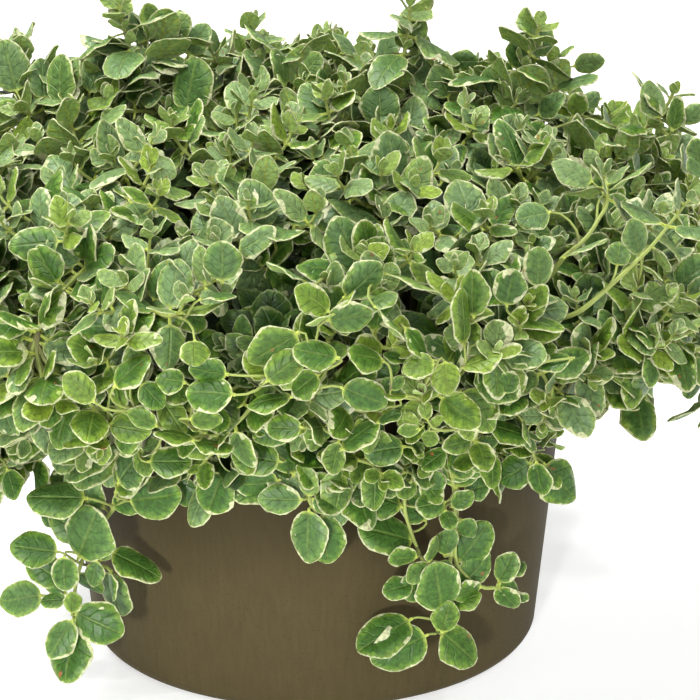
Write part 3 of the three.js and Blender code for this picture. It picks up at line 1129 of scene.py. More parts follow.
@dataclass
class LeafCut:
    """How a leaf's closed blade is divided into faces.

    Attributes:
        stations: Where the rows cross the blade, from its base to its tip.
        columns: How many lines of corners run along each face.
        tip_half: Half of the tip's row over half of the blade, on a leaf with a middling tip.
        tip_spread: How much more or less it is on the roundest and the sharpest leaf.
        tip_arc: How far the ends of a middling tip's row stand back, over the blade's length.
        tip_turns: How the tips' spread follows from the phases of the leaves' waves.
        edge_wave: How far the edge waves in and out, then how often and how far apart on the two sides.
        lift_wave: The same for its waves up and down.
        lift_from: How far along the blade its fold and its waves are whole.
        petiole_station: What the finish reads at the petiole's root.
        tip_slope: How fast the edge draws near towards the tip.
        small_limits: The least and the most of a leaf's length over a full leaf's, for its rim.
        rim_offset: The share of a cell of the flat map that the rim takes.
    """

    stations: tuple
    columns: int
    thickness: float = 0.42 * MM
    petiole_half: float = 0.42 * MM
    tip_half: float = 0.30
    tip_spread: float = 0.08
    tip_arc: float = 0.04
    tip_turns: float = 7.0
    base_slim: float = 0.22
    end_slim: float = 0.2
    edge_wave: float = 0.055
    edge_turns: float = 1.7
    edge_shift: float = 0.4
    lift_wave: float = 0.12
    lift_turns: float = 1.2
    lift_shift: float = 0.3
    lift_from: float = 0.3
    curl: float = 0.26
    edge_thin: float = 0.45
    petiole_flat: float = 0.9
    petiole_station: float = -0.3
    tip_slope: float = 1.1
    small_limits: tuple = (0.35, 1.15)
    rim_offset: float = 0.05
    full_length: float = 15 * MM

    @property
    def rows(self) -> int:
        """The rows of corners, with one at the petiole's root."""
        return len(self.stations) + 1

    @property
    def lanes(self) -> Array:
        """How far across the blade each line of corners runs, from -1 to 1."""
        return np.linspace(-1, 1, self.columns)

    def tips(self, leaves: LeafSet) -> Array:
        """Half of the tip's row over half of the blade, for each leaf."""
        return self.tip_half + self.tip_spread * np.cos(self.tip_turns * leaves.values["wave"])

    def shares(self, leaves: LeafSet) -> Array:
        """How far along each leaf its rows lie, from nought at its root to one at its tip."""
        blade = leaves.column("petiole") + (1 - leaves.column("petiole")) * np.array(self.stations)
        return np.concatenate([np.zeros((len(leaves), 1)), blade], axis=1)

    def halves(self, leaves: LeafSet) -> Array:
        """Half of the blade's width at each row and lane.

        Args:
            leaves: The leaves.

        Returns:
            The half widths by leaf, row and lane.
        """
        stations = np.array(self.stations)
        skew = np.log(0.5) / np.log(leaves.column("widest"))
        bow = 1 - (2 * stations[None, :] ** skew - 1) ** 2
        blade = np.sqrt(np.clip(bow, 0, 1)) * (1 - self.base_slim * (1 - stations) ** 3)
        blade = blade * (1 - self.end_slim * stations**4)
        half = 0.5 * leaves.column("length") * (1 - leaves.column("petiole")) * leaves.column("breadth")
        blade[:, -1] = self.tips(leaves)
        blade = np.maximum(half * blade, self.petiole_half)
        stalk = np.full((len(leaves), 1), self.petiole_half)
        width = np.concatenate([stalk, blade], axis=1)[:, :, None]
        phase = self.edge_turns * np.concatenate([[0], stations])[None, :, None]
        phase = phase + leaves.values["wave"][:, None, None] + self.edge_shift * (self.lanes > 0)
        return width * (1 + self.edge_wave * np.sin(2 * math.pi * phase))

    def corners(self, leaves: LeafSet) -> Array:
        """Places of the corners of all the leaves.

        Args:
            leaves: The leaves.

        Returns:
            Points by leaf, side (upper, then under), row and lane.
        """
        share = self.shares(leaves)
        angle = -leaves.column("bend") * share**1.5
        step = np.diff(share, axis=1) * leaves.column("length")
        middle = (angle[:, 1:] + angle[:, :-1]) / 2
        start = np.zeros((len(leaves), 1))
        run = np.concatenate([start, np.cumsum(np.cos(middle) * step, axis=1)], axis=1)
        climb = np.concatenate([start, np.cumsum(np.sin(middle) * step, axis=1)], axis=1)
        along, face = leaves.values["along"][:, None, :], leaves.values["face"][:, None, :]
        across = np.cross(face, along)
        line = (leaves.values["root"][:, None, :] + along * run[..., None] + face * climb[..., None])
        bent = face * np.cos(angle)[..., None] - along * np.sin(angle)[..., None]
        turn = (leaves.column("twist") * share)[..., None]
        side = across * np.cos(turn) + bent * np.sin(turn)
        out = bent * np.cos(turn) - across * np.sin(turn)
        half = self.halves(leaves)
        way = np.abs(self.lanes)
        held = smooth_step(0.0, self.lift_from, np.array(self.stations))
        blade = np.concatenate([[0.0], held])[None, :, None]
        phase = self.lift_turns * share[..., None] + leaves.values["wave"][:, None, None]
        ripple = np.sin(2 * math.pi * (phase + self.lift_shift * np.sign(self.lanes)))
        lift = leaves.values["fold"][:, None, None] * way - self.curl * way**3
        lift = half * blade * (lift + self.lift_wave * ripple * way**2)
        depth = 0.5 * self.thickness * (1 - self.edge_thin * way**2)
        depth = np.where(blade > 0, depth, self.petiole_half * self.petiole_flat)
        upper = line[:, :, None] + side[:, :, None] * (half * self.lanes)[..., None]
        upper = upper + out[:, :, None] * lift[..., None]
        back = along * np.cos(angle)[..., None] + face * np.sin(angle)[..., None]
        arc = self.tip_arc * (self.tips(leaves) / self.tip_half) ** 2 * leaves.values["length"]
        upper[:, -1] -= back[:, -1, None] * (arc[:, None] * way**2)[..., None]
        offset = out[:, :, None] * depth[..., None]
        return np.stack([upper + offset, upper - offset], axis=1)

    @property
    def grid(self) -> Array:
        """The corner numbers of a face, by row and lane."""
        return np.arange(self.rows * self.columns).reshape(self.rows, self.columns)

    def rim(self) -> Array:
        """The corner numbers round a face, seen from above, in a loop."""
        grid = self.grid
        return np.concatenate([grid[:, 0], grid[-1, 1:], grid[-2::-1, -1], grid[0, -2:0:-1]])

    def quads(self) -> tuple[Array, Array, Array]:
        """The faces of one leaf.

        Returns:
            The quads of the upper face, of the underside and of the rim between them.
        """
        grid, rim = self.grid, self.rim()
        loops = [grid[:-1, :-1], grid[1:, :-1], grid[1:, 1:], grid[:-1, 1:]]
        upper = np.stack(loops, axis=-1).reshape(-1, 4)
        below = grid.size
        ahead = np.roll(rim, -1)
        edge = np.stack([rim + below, ahead + below, ahead, rim], axis=-1)
        return upper, upper[:, ::-1] + below, edge

    def local_map(self, leaves: LeafSet) -> Array:
        """Each corner's place on its leaf's own flat map.

        Args:
            leaves: The leaves.

        Returns:
            Places from nought to one, by leaf, row and lane.
        """
        half = self.halves(leaves)
        wide = half.max(axis=(1, 2), keepdims=True)
        across = 0.5 + 0.5 * half / wide * self.lanes
        along = np.broadcast_to(self.shares(leaves)[..., None], across.shape)
        inner = np.stack([along, across], axis=-1)
        return self.rim_offset + (1 - 2 * self.rim_offset) * inner

    def charts(self, leaves: LeafSet, sheets: tuple[ChartSheet, ChartSheet]) -> Array:
        """Lays the upper faces with their rims on one sheet and the undersides on another.

        Args:
            leaves: The leaves.
            sheets: The sheet of the upper faces and that of the undersides.

        Returns:
            The map's places by leaf, quad and corner.
        """
        local = self.local_map(leaves).reshape(len(leaves), -1, 2)
        upper, under, _ = self.quads()
        rim = self.rim()
        ahead = np.roll(rim, -1)
        outward = unit(local - local.mean(axis=1, keepdims=True)) * self.rim_offset + local
        edge = np.stack([outward[:, rim], outward[:, ahead], local[:, ahead], local[:, rim]], axis=2)
        above = np.concatenate([local[:, upper], np.clip(edge, 0, 1)], axis=1)
        below = local[:, under - self.rows * self.columns]
        above, below = sheets[0].lay(above), sheets[1].lay(below)
        count = len(upper)
        return np.concatenate([above[:, :count], below, above[:, count:]], axis=1)

    def shells(self, leaves: LeafSet, sheets: tuple[ChartSheet, ChartSheet]) -> Shells:
        """Builds all the leaves as closed shells.

        Args:
            leaves: The leaves.
            sheets: The sheet of the upper faces and that of the undersides.

        Returns:
            The shells.
        """
        count, size = len(leaves), self.rows * self.columns
        points = self.corners(leaves).reshape(-1, 3)
        quads = np.concatenate(self.quads())
        quads = (quads[None] + (np.arange(count) * 2 * size)[:, None, None]).reshape(-1, 4)
        half = self.halves(leaves)
        blade = leaves.column("length") * (1 - leaves.column("petiole"))
        stations = np.concatenate([[self.petiole_station], self.stations])
        to_side = (1 - np.abs(self.lanes)) * half
        to_tip = ((1 - stations)[None, :] * blade * self.tip_slope)[..., None]
        small = np.clip(leaves.values["length"] / self.full_length, *self.small_limits)
        edge = np.minimum(to_side, to_tip) / MM / small[:, None, None]
        along = np.broadcast_to(stations[None, :, None], edge.shape)
        across = np.broadcast_to(self.lanes[None, None, :], edge.shape)
        place = np.stack([along, across, edge], axis=-1).reshape(count, 1, size, 3)
        place = np.repeat(place, 2, axis=1).reshape(-1, 3)
        tone = np.stack([leaves.values[name] for name in ("age", "hue", "cream")], axis=-1)
        under = np.tile(np.repeat([0.0, 1.0], size), count)
        chart = self.charts(leaves, sheets).reshape(-1, 4, 2)
        return Shells(points, quads, chart, place, np.repeat(tone, 2 * size, axis=0), under)


@dataclass
class StalkCut:
    """How a stalk's closed tube is divided into faces.

    Attributes:
        sides: How many sides it has.
        caps: The corner numbers of the two faces that close an end.
        finish: The number of its finish on the piece.
        chart_from: Where its wall starts along its strip of the flat map.
        chart_over: How much of the strip its wall takes.
        chart_end: How much of the strip the ends take.
    """

    sides: int = 6
    caps: tuple = ((3, 2, 1, 0), (5, 4, 3, 0))
    finish: int = 1
    chart_from: float = 0.02
    chart_over: float = 0.96
    chart_end: float = 0.01

    def tube(self, line: StalkLine, thick: float, thin: float, low: float, high: float) -> Shells:
        """Builds one stalk.

        Args:
            line: Its middle line.
            thick: Its radius at the foot.
            thin: Its radius at the tip.
            low: The lower edge of its strip on the flat map.
            high: The upper edge of that strip.

        Returns:
            The closed tube.
        """
        rows = len(line.points)
        share = line.reach / line.length
        turns = np.arange(self.sides) / self.sides * 2 * math.pi
        across = np.cross(line.tangents, line.normals)
        ring = (line.normals[:, None] * np.cos(turns)[None, :, None]
                + across[:, None] * np.sin(turns)[None, :, None])
        radius = thick + (thin - thick) * share
        points = line.points[:, None] + ring * radius[:, None, None]
        grid = np.arange(rows * self.sides).reshape(rows, self.sides)
        beside = np.roll(grid, -1, axis=1)
        wall = np.stack([grid[:-1], beside[:-1], beside[1:], grid[1:]], axis=-1).reshape(-1, 4)
        last = (rows - 1) * self.sides
        foot_caps = np.array(self.caps)
        caps = np.concatenate([foot_caps, foot_caps[:, ::-1] + last])
        lengthwise = np.stack([share[:-1], share[:-1], share[1:], share[1:]], axis=-1)
        lengthwise = np.repeat(lengthwise[:, None], self.sides, axis=1).reshape(-1, 4)
        around = np.arange(self.sides)[:, None] + np.array([0, 1, 1, 0])
        around = np.tile(around, (rows - 1, 1)) / self.sides
        lengthwise = self.chart_from + self.chart_over * lengthwise
        chart = np.stack([lengthwise, low + (high - low) * around], axis=-1)
        end = np.array([[0.0, low], [self.chart_end, low], [self.chart_end, high], [0.0, high]])
        chart = np.concatenate([chart, np.repeat(end[None], len(caps), axis=0)])
        place = np.zeros((rows * self.sides, 3))
        place[:, 0] = np.repeat(share, self.sides)
        count = len(place)
        return Shells(points.reshape(-1, 3), np.concatenate([wall, caps]), chart, place,
                      np.zeros((count, 3)), np.zeros(count), self.finish)


@dataclass
class Shoot:
    """A leafy shoot.

    Attributes:
        line: Its middle line.
        pairs: How many pairs of leaves it bears.
        vigour: The size of its leaves over the usual size.
        hue: Below nought towards lime and above it towards grey.
        twist: How far its first pair is turned about it.
        thick: Its radius at the foot.
        thin: Its radius at the tip.
        close: The spacing of its pairs over the usual spacing.
        stands_out: Whether it stands out of the mound, with small leaves in the axils of the large.
        placed: Leaves that are set out one by one.
    """

    line: StalkLine
    pairs: int
    vigour: float
    hue: float
    twist: float
    thick: float
    thin: float
    close: float = 1.0
    stands_out: bool = False
    placed: list[Leaf] = field(default_factory=list)


@dataclass(frozen=True)
class Spray:
    """Leaves that are set out one by one, and the stalks that bear them, in millimetres.

    Attributes:
        leaves: For each leaf its root, its tip, and in percent its seen breadth over its length, its
            age and its cream.
        stem: The number of the trailing stem that bears them, or None for the nearest of all stems.
        courses: The knots of its stalks: the stem's own below the rim, then its side stalks'.
        facing: What turns the leaves' faces beside the light.
        thick: The radius of its side stalks.
        pairs: The pairs of leaves that grow by rule at the end of each side stalk.
    """

    leaves: tuple
    stem: int | None = None
    courses: tuple = ()
    facing: tuple = (0.0, -0.3, 0.0)
    thick: float = 0.85 * MM
    pairs: int = 0


LEFT_SPRIG = Spray(stem=0, courses=(
    ((-59, -84, 89), (-62, -82, 77), (-67, -80, 69), (-74, -80, 56), (-77, -82, 43), (-77, -82, 36)),
), leaves=(
    (-75, -84, 58, -68, -88, 77, 84, 80, 20), (-81, -80, 59, -97, -82, 62, 69, 80, 0),
    (-79, -88, 61, -79, -91, 50, 85, 30, 30), (-87, -78, 43, -102, -78, 41, 75, 60, 0),
    (-79, -84, 44, -88, -82, 43, 62, 30, 50), (-77, -90, 42, -76, -93, 50, 50, 0, 10),
    (-77, -84, 40, -61, -90, 34, 73, 50, 60), (-77, -86, 38, -85, -92, 27, 62, 40, 80),
    (-77, -82, 34, -80, -90, 17, 73, 60, 40), (-65, -80, 59, -48, -82, 51, 46, 60, 30),
    (-65, -76, 51, -63, -74, 33, 67, 60, 30), (-69, -82, 57, -71, -84, 48, 60, 40, 10),
    (-65, -80, 52, -64, -83, 43, 50, 30, 20), (-68, -80, 56, -65, -80, 62, 75, 50, 10),
    (-78, -78, 68, -82, -78, 72, 75, 30, 10), (-82, -74, 65, -87, -74, 70, 70, 70, 10),
    (-71, -86, 80, -91, -84, 80, 59, 60, 0), (-72, -80, 77, -68, -80, 71, 70, 50, 10),
    (-80, -80, 48, -92, -80, 57, 60, 80, 10), (-79, -82, 45, -87, -80, 51, 66, 60, 20),
    (-70, -80, 64, -84, -80, 72, 62, 90, 10), (-66, -80, 74, -79, -82, 86, 60, 70, 20),
    (-64, -82, 76, -52, -86, 80, 62, 50, 30), (-76, -80, 52, -68, -80, 44, 62, 90, 10),
))
CENTRE_SPRIG = Spray(stem=1, courses=(
    ((-3, -105, 102), (-2, -105, 94), (0, -106, 87), (2, -103, 82)),
), leaves=(
    (0, -105, 84, -1, -108, 66, 61, 50, 70), (4, -101, 81, 6, -104, 64, 70, 60, 20),
    (-2, -108, 88, -16, -110, 89, 62, 50, 40), (-8, -103, 93, -25, -102, 88, 58, 70, 60),
    (-5, -106, 95, -4, -113, 115, 62, 70, 70), (3, -107, 88, 14, -110, 96, 62, 40, 30),
    (7, -103, 93, 16, -106, 103, 62, 60, 30), (0, -112, 91, -2, -117, 102, 46, 0, 10),
    (1, -107, 88, 7, -109, 84, 66, 40, 20), (1, -111, 91, 4, -116, 100, 50, 10, 20),
))
RIGHT_SPRIG = Spray(stem=2, courses=(
    ((43, -96, 98), (46, -89, 84), (46, -86, 69), (45, -85, 58), (42, -86, 44), (41, -85, 33)),
    ((35, -96, 95), (30, -95, 82), (33, -92, 68), (37, -90, 57)),
), leaves=(
    (37, -87, 41, 15, -97, 31, 60, 80, 20), (39, -89, 34, 20, -100, 29, 68, 60, 60),
    (42, -86, 33, 54, -84, 21, 76, 20, 10), (42, -91, 35, 45, -93, 46, 74, 10, 0),
    (45, -86, 42, 55, -85, 46, 58, 10, 30), (42, -90, 42, 40, -97, 61, 72, 30, 30),
    (33, -93, 53, 23, -98, 52, 66, 50, 20), (35, -91, 46, 31, -96, 56, 65, 30, 30),
    (36, -89, 65, 16, -98, 75, 60, 80, 10), (30, -95, 80, 13, -102, 91, 52, 70, 20),
    (47, -82, 55, 58, -79, 68, 70, 80, 10), (47, -83, 47, 59, -80, 57, 62, 80, 50),
    (55, -82, 47, 47, -91, 47, 42, 20, 80), (38, -96, 62, 41, -100, 71, 46, 10, 30),
    (34, -95, 63, 25, -101, 65, 46, 20, 40), (41, -92, 60, 46, -93, 57, 72, 20, 30),
    (38, -93, 59, 31, -100, 57, 62, 20, 20), (43, -93, 81, 34, -100, 82, 70, 30, 20),
    (43, -95, 79, 45, -99, 74, 86, 20, 50), (45, -92, 79, 52, -93, 84, 70, 20, 40),
    (43, -87, 60, 45, -89, 70, 68, 70, 10), (46, -90, 84, 51, -93, 102, 78, 80, 20),
    (49, -87, 82, 58, -85, 84, 85, 50, 40), (37, -89, 73, 30, -92, 82, 75, 60, 10),
    (38, -94, 82, 40, -96, 93, 70, 40, 30), (48, -85, 72, 53, -83, 64, 55, 60, 10),
    (31, -100, 94, 22, -105, 97, 62, 40, 80),
))
THIN_SPRIG = Spray(stem=3, courses=(
    ((46, -86, 98), (47, -84, 84), (47, -83, 69), (47, -84, 56), (55, -79, 46), (60, -76, 44),
     (64, -73, 41)),
), leaves=(
    (61, -76, 46, 66, -77, 57, 48, 30, 40), (65, -67, 44, 70, -62, 48, 50, 70, 10),
    (61, -77, 46, 68, -75, 42, 62, 20, 10), (65, -73, 41, 71, -71, 37, 40, 20, 40),
    (61, -77, 45, 67, -74, 35, 32, 30, 50),
))
FRINGE = Spray(leaves=(
    (-27, -101, 95, -32, -102, 81, 86, 60, 50), (-42, -89, 89, -39, -91, 79, 80, 90, 0),
    (-63, -97, 85, -52, -110, 107, 67, 80, 50), (-61, -86, 79, -42, -100, 86, 60, 70, 10),
    (-97, -80, 88, -94, -87, 80, 75, 80, 0), (-69, -109, 119, -83, -103, 104, 58, 50, 20),
    (-64, -115, 122, -66, -118, 112, 66, 30, 20), (-57, -114, 121, -56, -118, 106, 70, 60, 100),
    (-47, -118, 118, -56, -118, 120, 70, 40, 50), (-65, -115, 125, -76, -112, 131, 57, 30, 30),
    (-60, -118, 129, -49, -126, 144, 50, 70, 30), (-89, -92, 126, -77, -105, 121, 80, 80, 40),
    (60, -84, 86, 62, -84, 77, 30, 60, 50),
))
LOWER_LEFT = Spray(facing=(0.0, -1.0, 0.2), leaves=(
    (-64, -136, 131, -73, -136, 140, 62, 30, 20), (-58, -140, 137, -48, -140, 148, 60, 60, 20),
    (-62, -120, 123, -64, -122, 114, 74, 20, 20), (-57, -122, 124, -56, -124, 109, 62, 70, 100),
    (-45, -141, 125, -54, -141, 130, 55, 40, 20), (-36, -144, 140, -45, -144, 142, 85, 90, 40),
    (-21, -152, 139, -36, -152, 141, 78, 80, 50), (-33, -148, 155, -33, -152, 148, 105, 30, 30),
    (-35, -140, 120, -22, -140, 118, 45, 90, 30), (-50, -116, 104, -36, -116, 104, 68, 90, 20),
    (-62, -96, 85, -52, -104, 103, 61, 90, 30), (-9, -106, 94, -24, -106, 91, 60, 50, 40),
    (-4, -148, 137, -18, -148, 135, 52, 80, 20), (-12, -152, 143, -1, -152, 152, 60, 50, 20),
    (4, -150, 145, -5, -150, 138, 75, 90, 40), (-1, -148, 127, -13, -148, 127, 60, 90, 40),
    (-8, -122, 106, -24, -122, 109, 65, 90, 10), (-81, -104, 106, -70, -104, 114, 75, 40, 30),
    (-23, -148, 144, -35, -148, 146, 50, 100, 10), (-35, -148, 130, -25, -148, 129, 45, 40, 30),
    (-34, -142, 121, -46, -142, 125, 40, 30, 50), (-50, -141, 139, -43, -141, 131, 70, 100, 10),
))
LOWER_RIGHT = Spray(facing=(0.0, -1.0, 0.2), leaves=(
    (10, -148, 140, 24, -148, 134, 55, 90, 10), (10, -143, 118, 21, -143, 128, 55, 70, 20),
    (30, -122, 111, 17, -122, 109, 75, 90, 10), (30, -148, 137, 23, -148, 137, 50, 20, 30),
    (38, -150, 149, 28, -150, 145, 62, 30, 10), (41, -148, 148, 42, -151, 138, 80, 20, 10),
    (46, -146, 145, 58, -146, 150, 50, 20, 20), (46, -133, 133, 57, -135, 121, 70, 40, 20),
    (45, -106, 94, 50, -112, 111, 51, 90, 70), (71, -84, 91, 60, -84, 84, 80, 90, 10),
    (72, -88, 93, 74, -89, 81, 41, 70, 80), (75, -74, 87, 86, -72, 73, 76, 80, 30),
    (66, -112, 116, 70, -114, 108, 37, 10, 40), (71, -102, 111, 81, -102, 109, 30, 40, 30),
    (59, -138, 134, 62, -138, 141, 80, 60, 100), (74, -104, 122, 88, -104, 119, 42, 80, 90),
    (51, -133, 148, 69, -133, 146, 30, 90, 30), (80, -132, 143, 69, -132, 141, 60, 100, 10),
    (51, -110, 106, 59, -110, 108, 50, 30, 20), (30, -108, 97, 21, -108, 98, 60, 50, 80),
    (36, -144, 128, 35, -144, 134, 70, 20, 30), (37, -142, 125, 41, -142, 128, 50, 10, 20),
    (38, -134, 121, 36, -134, 115, 83, 20, 20), (34, -144, 125, 27, -144, 124, 45, 30, 90),
    (33, -144, 125, 29, -144, 130, 50, 10, 30), (43, -112, 106, 35, -113, 100, 61, 30, 20),
    (28, -144, 134, 23, -144, 141, 70, 100, 10), (30, -143, 146, 23, -143, 149, 55, 90, 10),
    (21, -144, 127, 28, -144, 131, 50, 80, 20), (25, -148, 139, 29, -148, 143, 60, 50, 20),
    (18, -133, 139, 28, -133, 141, 60, 100, 10), (29, -131, 134, 20, -131, 133, 60, 100, 10),
    (23, -129, 128, 25, -129, 135, 60, 90, 10), (130, -14, 97, 128, -14, 86, 75, 60, 30),
))
RIGHT_BRANCHES = Spray(thick=1.1 * MM, pairs=4, courses=(
    ((72, -85, 152), (79, -98, 164), (86, -99, 171), (90, -93, 175), (93, -86, 178), (93, -73, 184)),
    ((76, -90, 140), (83, -112, 151), (91, -112, 158), (101, -100, 163), (107, -94, 167),
     (119, -80, 177)),
), leaves=(
    (89, -78, 182, 77, -78, 190, 80, 30, 30), (93, -82, 180, 107, -79, 189, 26, 30, 20),
    (91, -72, 185, 87, -72, 191, 50, 10, 20), (78, -111, 168, 91, -111, 175, 30, 50, 10),
    (75, -96, 178, 64, -100, 177, 82, 80, 20), (95, -104, 163, 96, -101, 170, 99, 50, 20),
    (103, -94, 163, 100, -94, 175, 72, 60, 30), (103, -93, 160, 111, -93, 156, 42, 60, 30),
    (107, -91, 165, 113, -93, 158, 27, 50, 70), (60, -131, 159, 62, -131, 171, 80, 100, 80),
    (70, -122, 162, 70, -122, 175, 72, 50, 30), (50, -138, 158, 49, -138, 173, 50, 50, 20),
    (93, -75, 184, 95, -75, 189, 40, 10, 30), (124, -20, 167, 123, -20, 178, 60, 50, 20),
    (128, -24, 171, 126, -24, 181, 50, 50, 20), (129, -26, 168, 124, -26, 175, 60, 70, 20),
))
FRONT = Spray(leaves=(
    (7, -144, 162, -3, -144, 170, 75, 30, 40), (0, -134, 168, -11, -134, 176, 35, 70, 20),
    (11, -140, 165, 23, -140, 175, 35, 90, 10), (23, -134, 171, 41, -134, 165, 42, 30, 20),
    (15, -144, 163, 27, -144, 168, 60, 50, 20), (6, -148, 161, 20, -150, 163, 37, 60, 40),
    (8, -149, 163, 0, -152, 161, 27, 20, 100), (20, -147, 165, 31, -149, 156, 26, 50, 60),
    (-2, -150, 158, -17, -150, 148, 35, 50, 10), (10, -154, 151, -4, -154, 154, 70, 100, 10),
    (23, -148, 148, 13, -154, 153, 77, 70, 30), (47, -143, 151, 46, -143, 169, 48, 40, 20),
    (29, -146, 158, 37, -148, 149, 62, 60, 60), (38, -150, 148, 29, -154, 147, 75, 30, 20),
    (41, -146, 147, 42, -149, 137, 80, 30, 20), (-25, -134, 168, -25, -134, 181, 85, 80, 20),
    (8, -146, 162, 14, -146, 170, 35, 10, 30), (-32, -138, 164, -21, -138, 167, 45, 70, 30),
))
CREST = Spray(facing=(0.0, -1.1, 0.4), leaves=(
    (-99, 20, 185, -104, 24, 203, 66, 50, 10), (-84, 12, 183, -84, 16, 200, 64, 50, 10),
    (-90, 18, 183, -91, 22, 197, 55, 80, 0), (-75, 22, 184, -70, 25, 200, 72, 70, 0),
    (-61, 30, 198, -74, 30, 200, 24, 90, 0), (-74, 10, 178, -64, 8, 193, 46, 30, 20),
    (-55, 26, 201, -66, 26, 215, 56, 60, 10), (-57, 16, 189, -59, 18, 202, 92, 50, 10),
    (-52, 30, 199, -54, 30, 214, 42, 40, 20), (-51, 30, 200, -41, 28, 210, 55, 40, 10),
    (-42, 36, 194, -35, 36, 205, 72, 70, 10), (-32, 42, 193, -33, 42, 202, 42, 40, 10),
    (-42, 8, 181, -38, 11, 200, 74, 80, 20), (-62, 2, 175, -68, -1, 185, 70, 40, 40),
    (-11, 52, 190, -22, 52, 202, 40, 60, 10), (-24, 54, 190, -26, 54, 197, 45, 30, 10),
    (-13, 44, 179, -21, 44, 195, 42, 80, 40), (-9, 46, 180, -11, 46, 194, 46, 50, 10),
    (-4, 48, 182, 3, 46, 192, 72, 40, 30), (-5, 54, 188, 6, 54, 197, 26, 50, 30),
    (16, 56, 188, 8, 56, 197, 56, 70, 10), (22, 50, 183, 5, 48, 193, 36, 80, 40),
    (23, 54, 182, 27, 54, 198, 52, 80, 10), (35, 46, 192, 35, 48, 208, 64, 40, 0),
    (36, 42, 181, 37, 42, 192, 86, 60, 30), (47, 34, 179, 43, 34, 191, 82, 50, 50),
    (24, 18, 173, 23, 20, 188, 86, 90, 20), (47, 50, 188, 58, 50, 188, 26, 80, 0),
    (4, 44, 179, 4, 44, 187, 50, 90, 0), (82, 50, 189, 76, 50, 203, 62, 60, 10),
    (71, 46, 185, 73, 46, 199, 60, 90, 0), (81, 46, 186, 74, 44, 196, 50, 80, 10),
    (84, 44, 188, 84, 41, 195, 75, 10, 0), (85, 46, 190, 90, 46, 195, 42, 20, 0),
    (83, 38, 181, 98, 36, 187, 58, 70, 10), (77, 26, 175, 86, 23, 183, 72, 90, 0),
    (90, 42, 188, 101, 42, 190, 30, 40, 0), (89, 24, 175, 92, 22, 184, 72, 30, 90),
    (61, 34, 176, 63, 34, 191, 58, 60, 30), (57, 34, 176, 54, 34, 186, 50, 30, 30),
    (72, 40, 180, 67, 40, 190, 52, 80, 10), (92, 26, 177, 98, 26, 183, 60, 80, 0),
    (117, 6, 179, 113, 8, 192, 72, 30, 0), (121, 2, 176, 123, 2, 188, 30, 50, 30),
    (124, 0, 179, 130, -2, 186, 62, 50, 30),
))


@dataclass
class Stem:
    """One stem of the frame, with the shoots that branch from it.

    Attributes:
        share: Its place from the middle of the pot (nought) to the outside (one).
        foot: Where it stands in the soil.
        tip: Where it ends.
        trails: Whether it hangs down in front of the pot's wall.
        leads: Whether it stands out of the mound.
        shoots: Its own shoot, then its side shoots.
    """

    share: float
    foot: Array
    tip: Array
    trails: bool = False
    leads: bool = False
    shoots: list[Shoot] = field(default_factory=list)


@dataclass
class StemPlan:
    """Where the frame's stems stand and how their stalks bend."""

    count: int = 54
    ring: float = 66 * MM
    top_bias: float = 1.2
    start: float = math.radians(48)
    foot_height: float = 108.3 * MM
    rise: float = 38 * MM
    rise_outward: float = 40 * MM
    reach_back: float = 38 * MM
    drop_back: float = 34 * MM
    droop: float = 50 * MM
    droop_below: float = 128 * MM
    over_rim: float = 154 * MM
    rim_arch: tuple = ((84 * MM, 156 * MM), (102 * MM, 134 * MM))
    trailing: tuple = (
        (-88, -82, 16), (-1, -101, 66), (30, -104, 34), (64, -88, 52), (132, -34, 88), (-112, -52, 66),
    )
    upright: tuple = (
        (-64, 22, 216), (-100, 34, 200), (-20, 56, 200), (34, 42, 210), (78, 38, 204), (122, 14, 186),
    )

    def stems(self, mound: Mound) -> list[Stem]:
        """Sets out the stems as the frame has them.

        Args:
            mound: The surface that their tips reach.

        Returns:
            The stems, in the order of the frame's nodes.
        """
        stems = []
        for i in range(self.count):
            share = (i + 0.5) / self.count
            turn = self.start + i * GOLDEN_ANGLE
            reach = self.ring * math.sqrt(share)
            foot = np.array([reach * math.cos(turn), reach * math.sin(turn), self.foot_height])
            stems.append(Stem(share, foot, mound.point(share**self.top_bias, turn)))
        for tips, trails in ((self.trailing, True), (self.upright, False)):
            for tip in tips:
                place = np.array(tip) * MM
                free = [stem for stem in stems if not stem.leads]
                stem = min(free, key=lambda one: np.linalg.norm(one.tip - place))
                reach = math.hypot(stem.foot[0], stem.foot[1])
                turn = math.atan2(place[1], place[0])
                stem.foot[:2] = reach * math.cos(turn), reach * math.sin(turn)
                stem.tip, stem.trails, stem.leads = place, trails, True
        return stems

    def line(self, stem: Stem) -> StalkLine:
        """Bends a stem's stalk: straight up out of the soil, then over to its tip.

        Args:
            stem: The stem.

        Returns:
            Its middle line.
        """
        outward = unit(stem.tip * np.array([1.0, 1.0, 0.0]))
        rise = stem.foot + UP * (self.rise + self.rise_outward * stem.share)
        arrive = stem.tip.copy()
        if stem.tip[2] < self.droop_below:
            arrive[2] = max(stem.tip[2] + self.droop, self.over_rim)
        else:
            lean = stem.share**1.5
            arrive -= outward * self.reach_back * lean
            arrive[2] -= self.drop_back * (1 - lean)
        return StalkLine.bent(stem.foot, rise, arrive, stem.tip)

    def hanging_line(self, stem: Stem, course: Array) -> StalkLine:
        """Bends a stem's stalk up out of the soil, over the pot's rim and down a given course.

        Args:
            stem: The stem.
            course: The knots that it follows below the rim.

        Returns:
            Its middle line.
        """
        outward = unit(course[0] * np.array([1.0, 1.0, 0.0]))
        arch = [outward * reach + UP * height for reach, height in self.rim_arch]
        return StalkLine.through(np.array([stem.foot, stem.foot + UP * self.rise, *arch, *course]))


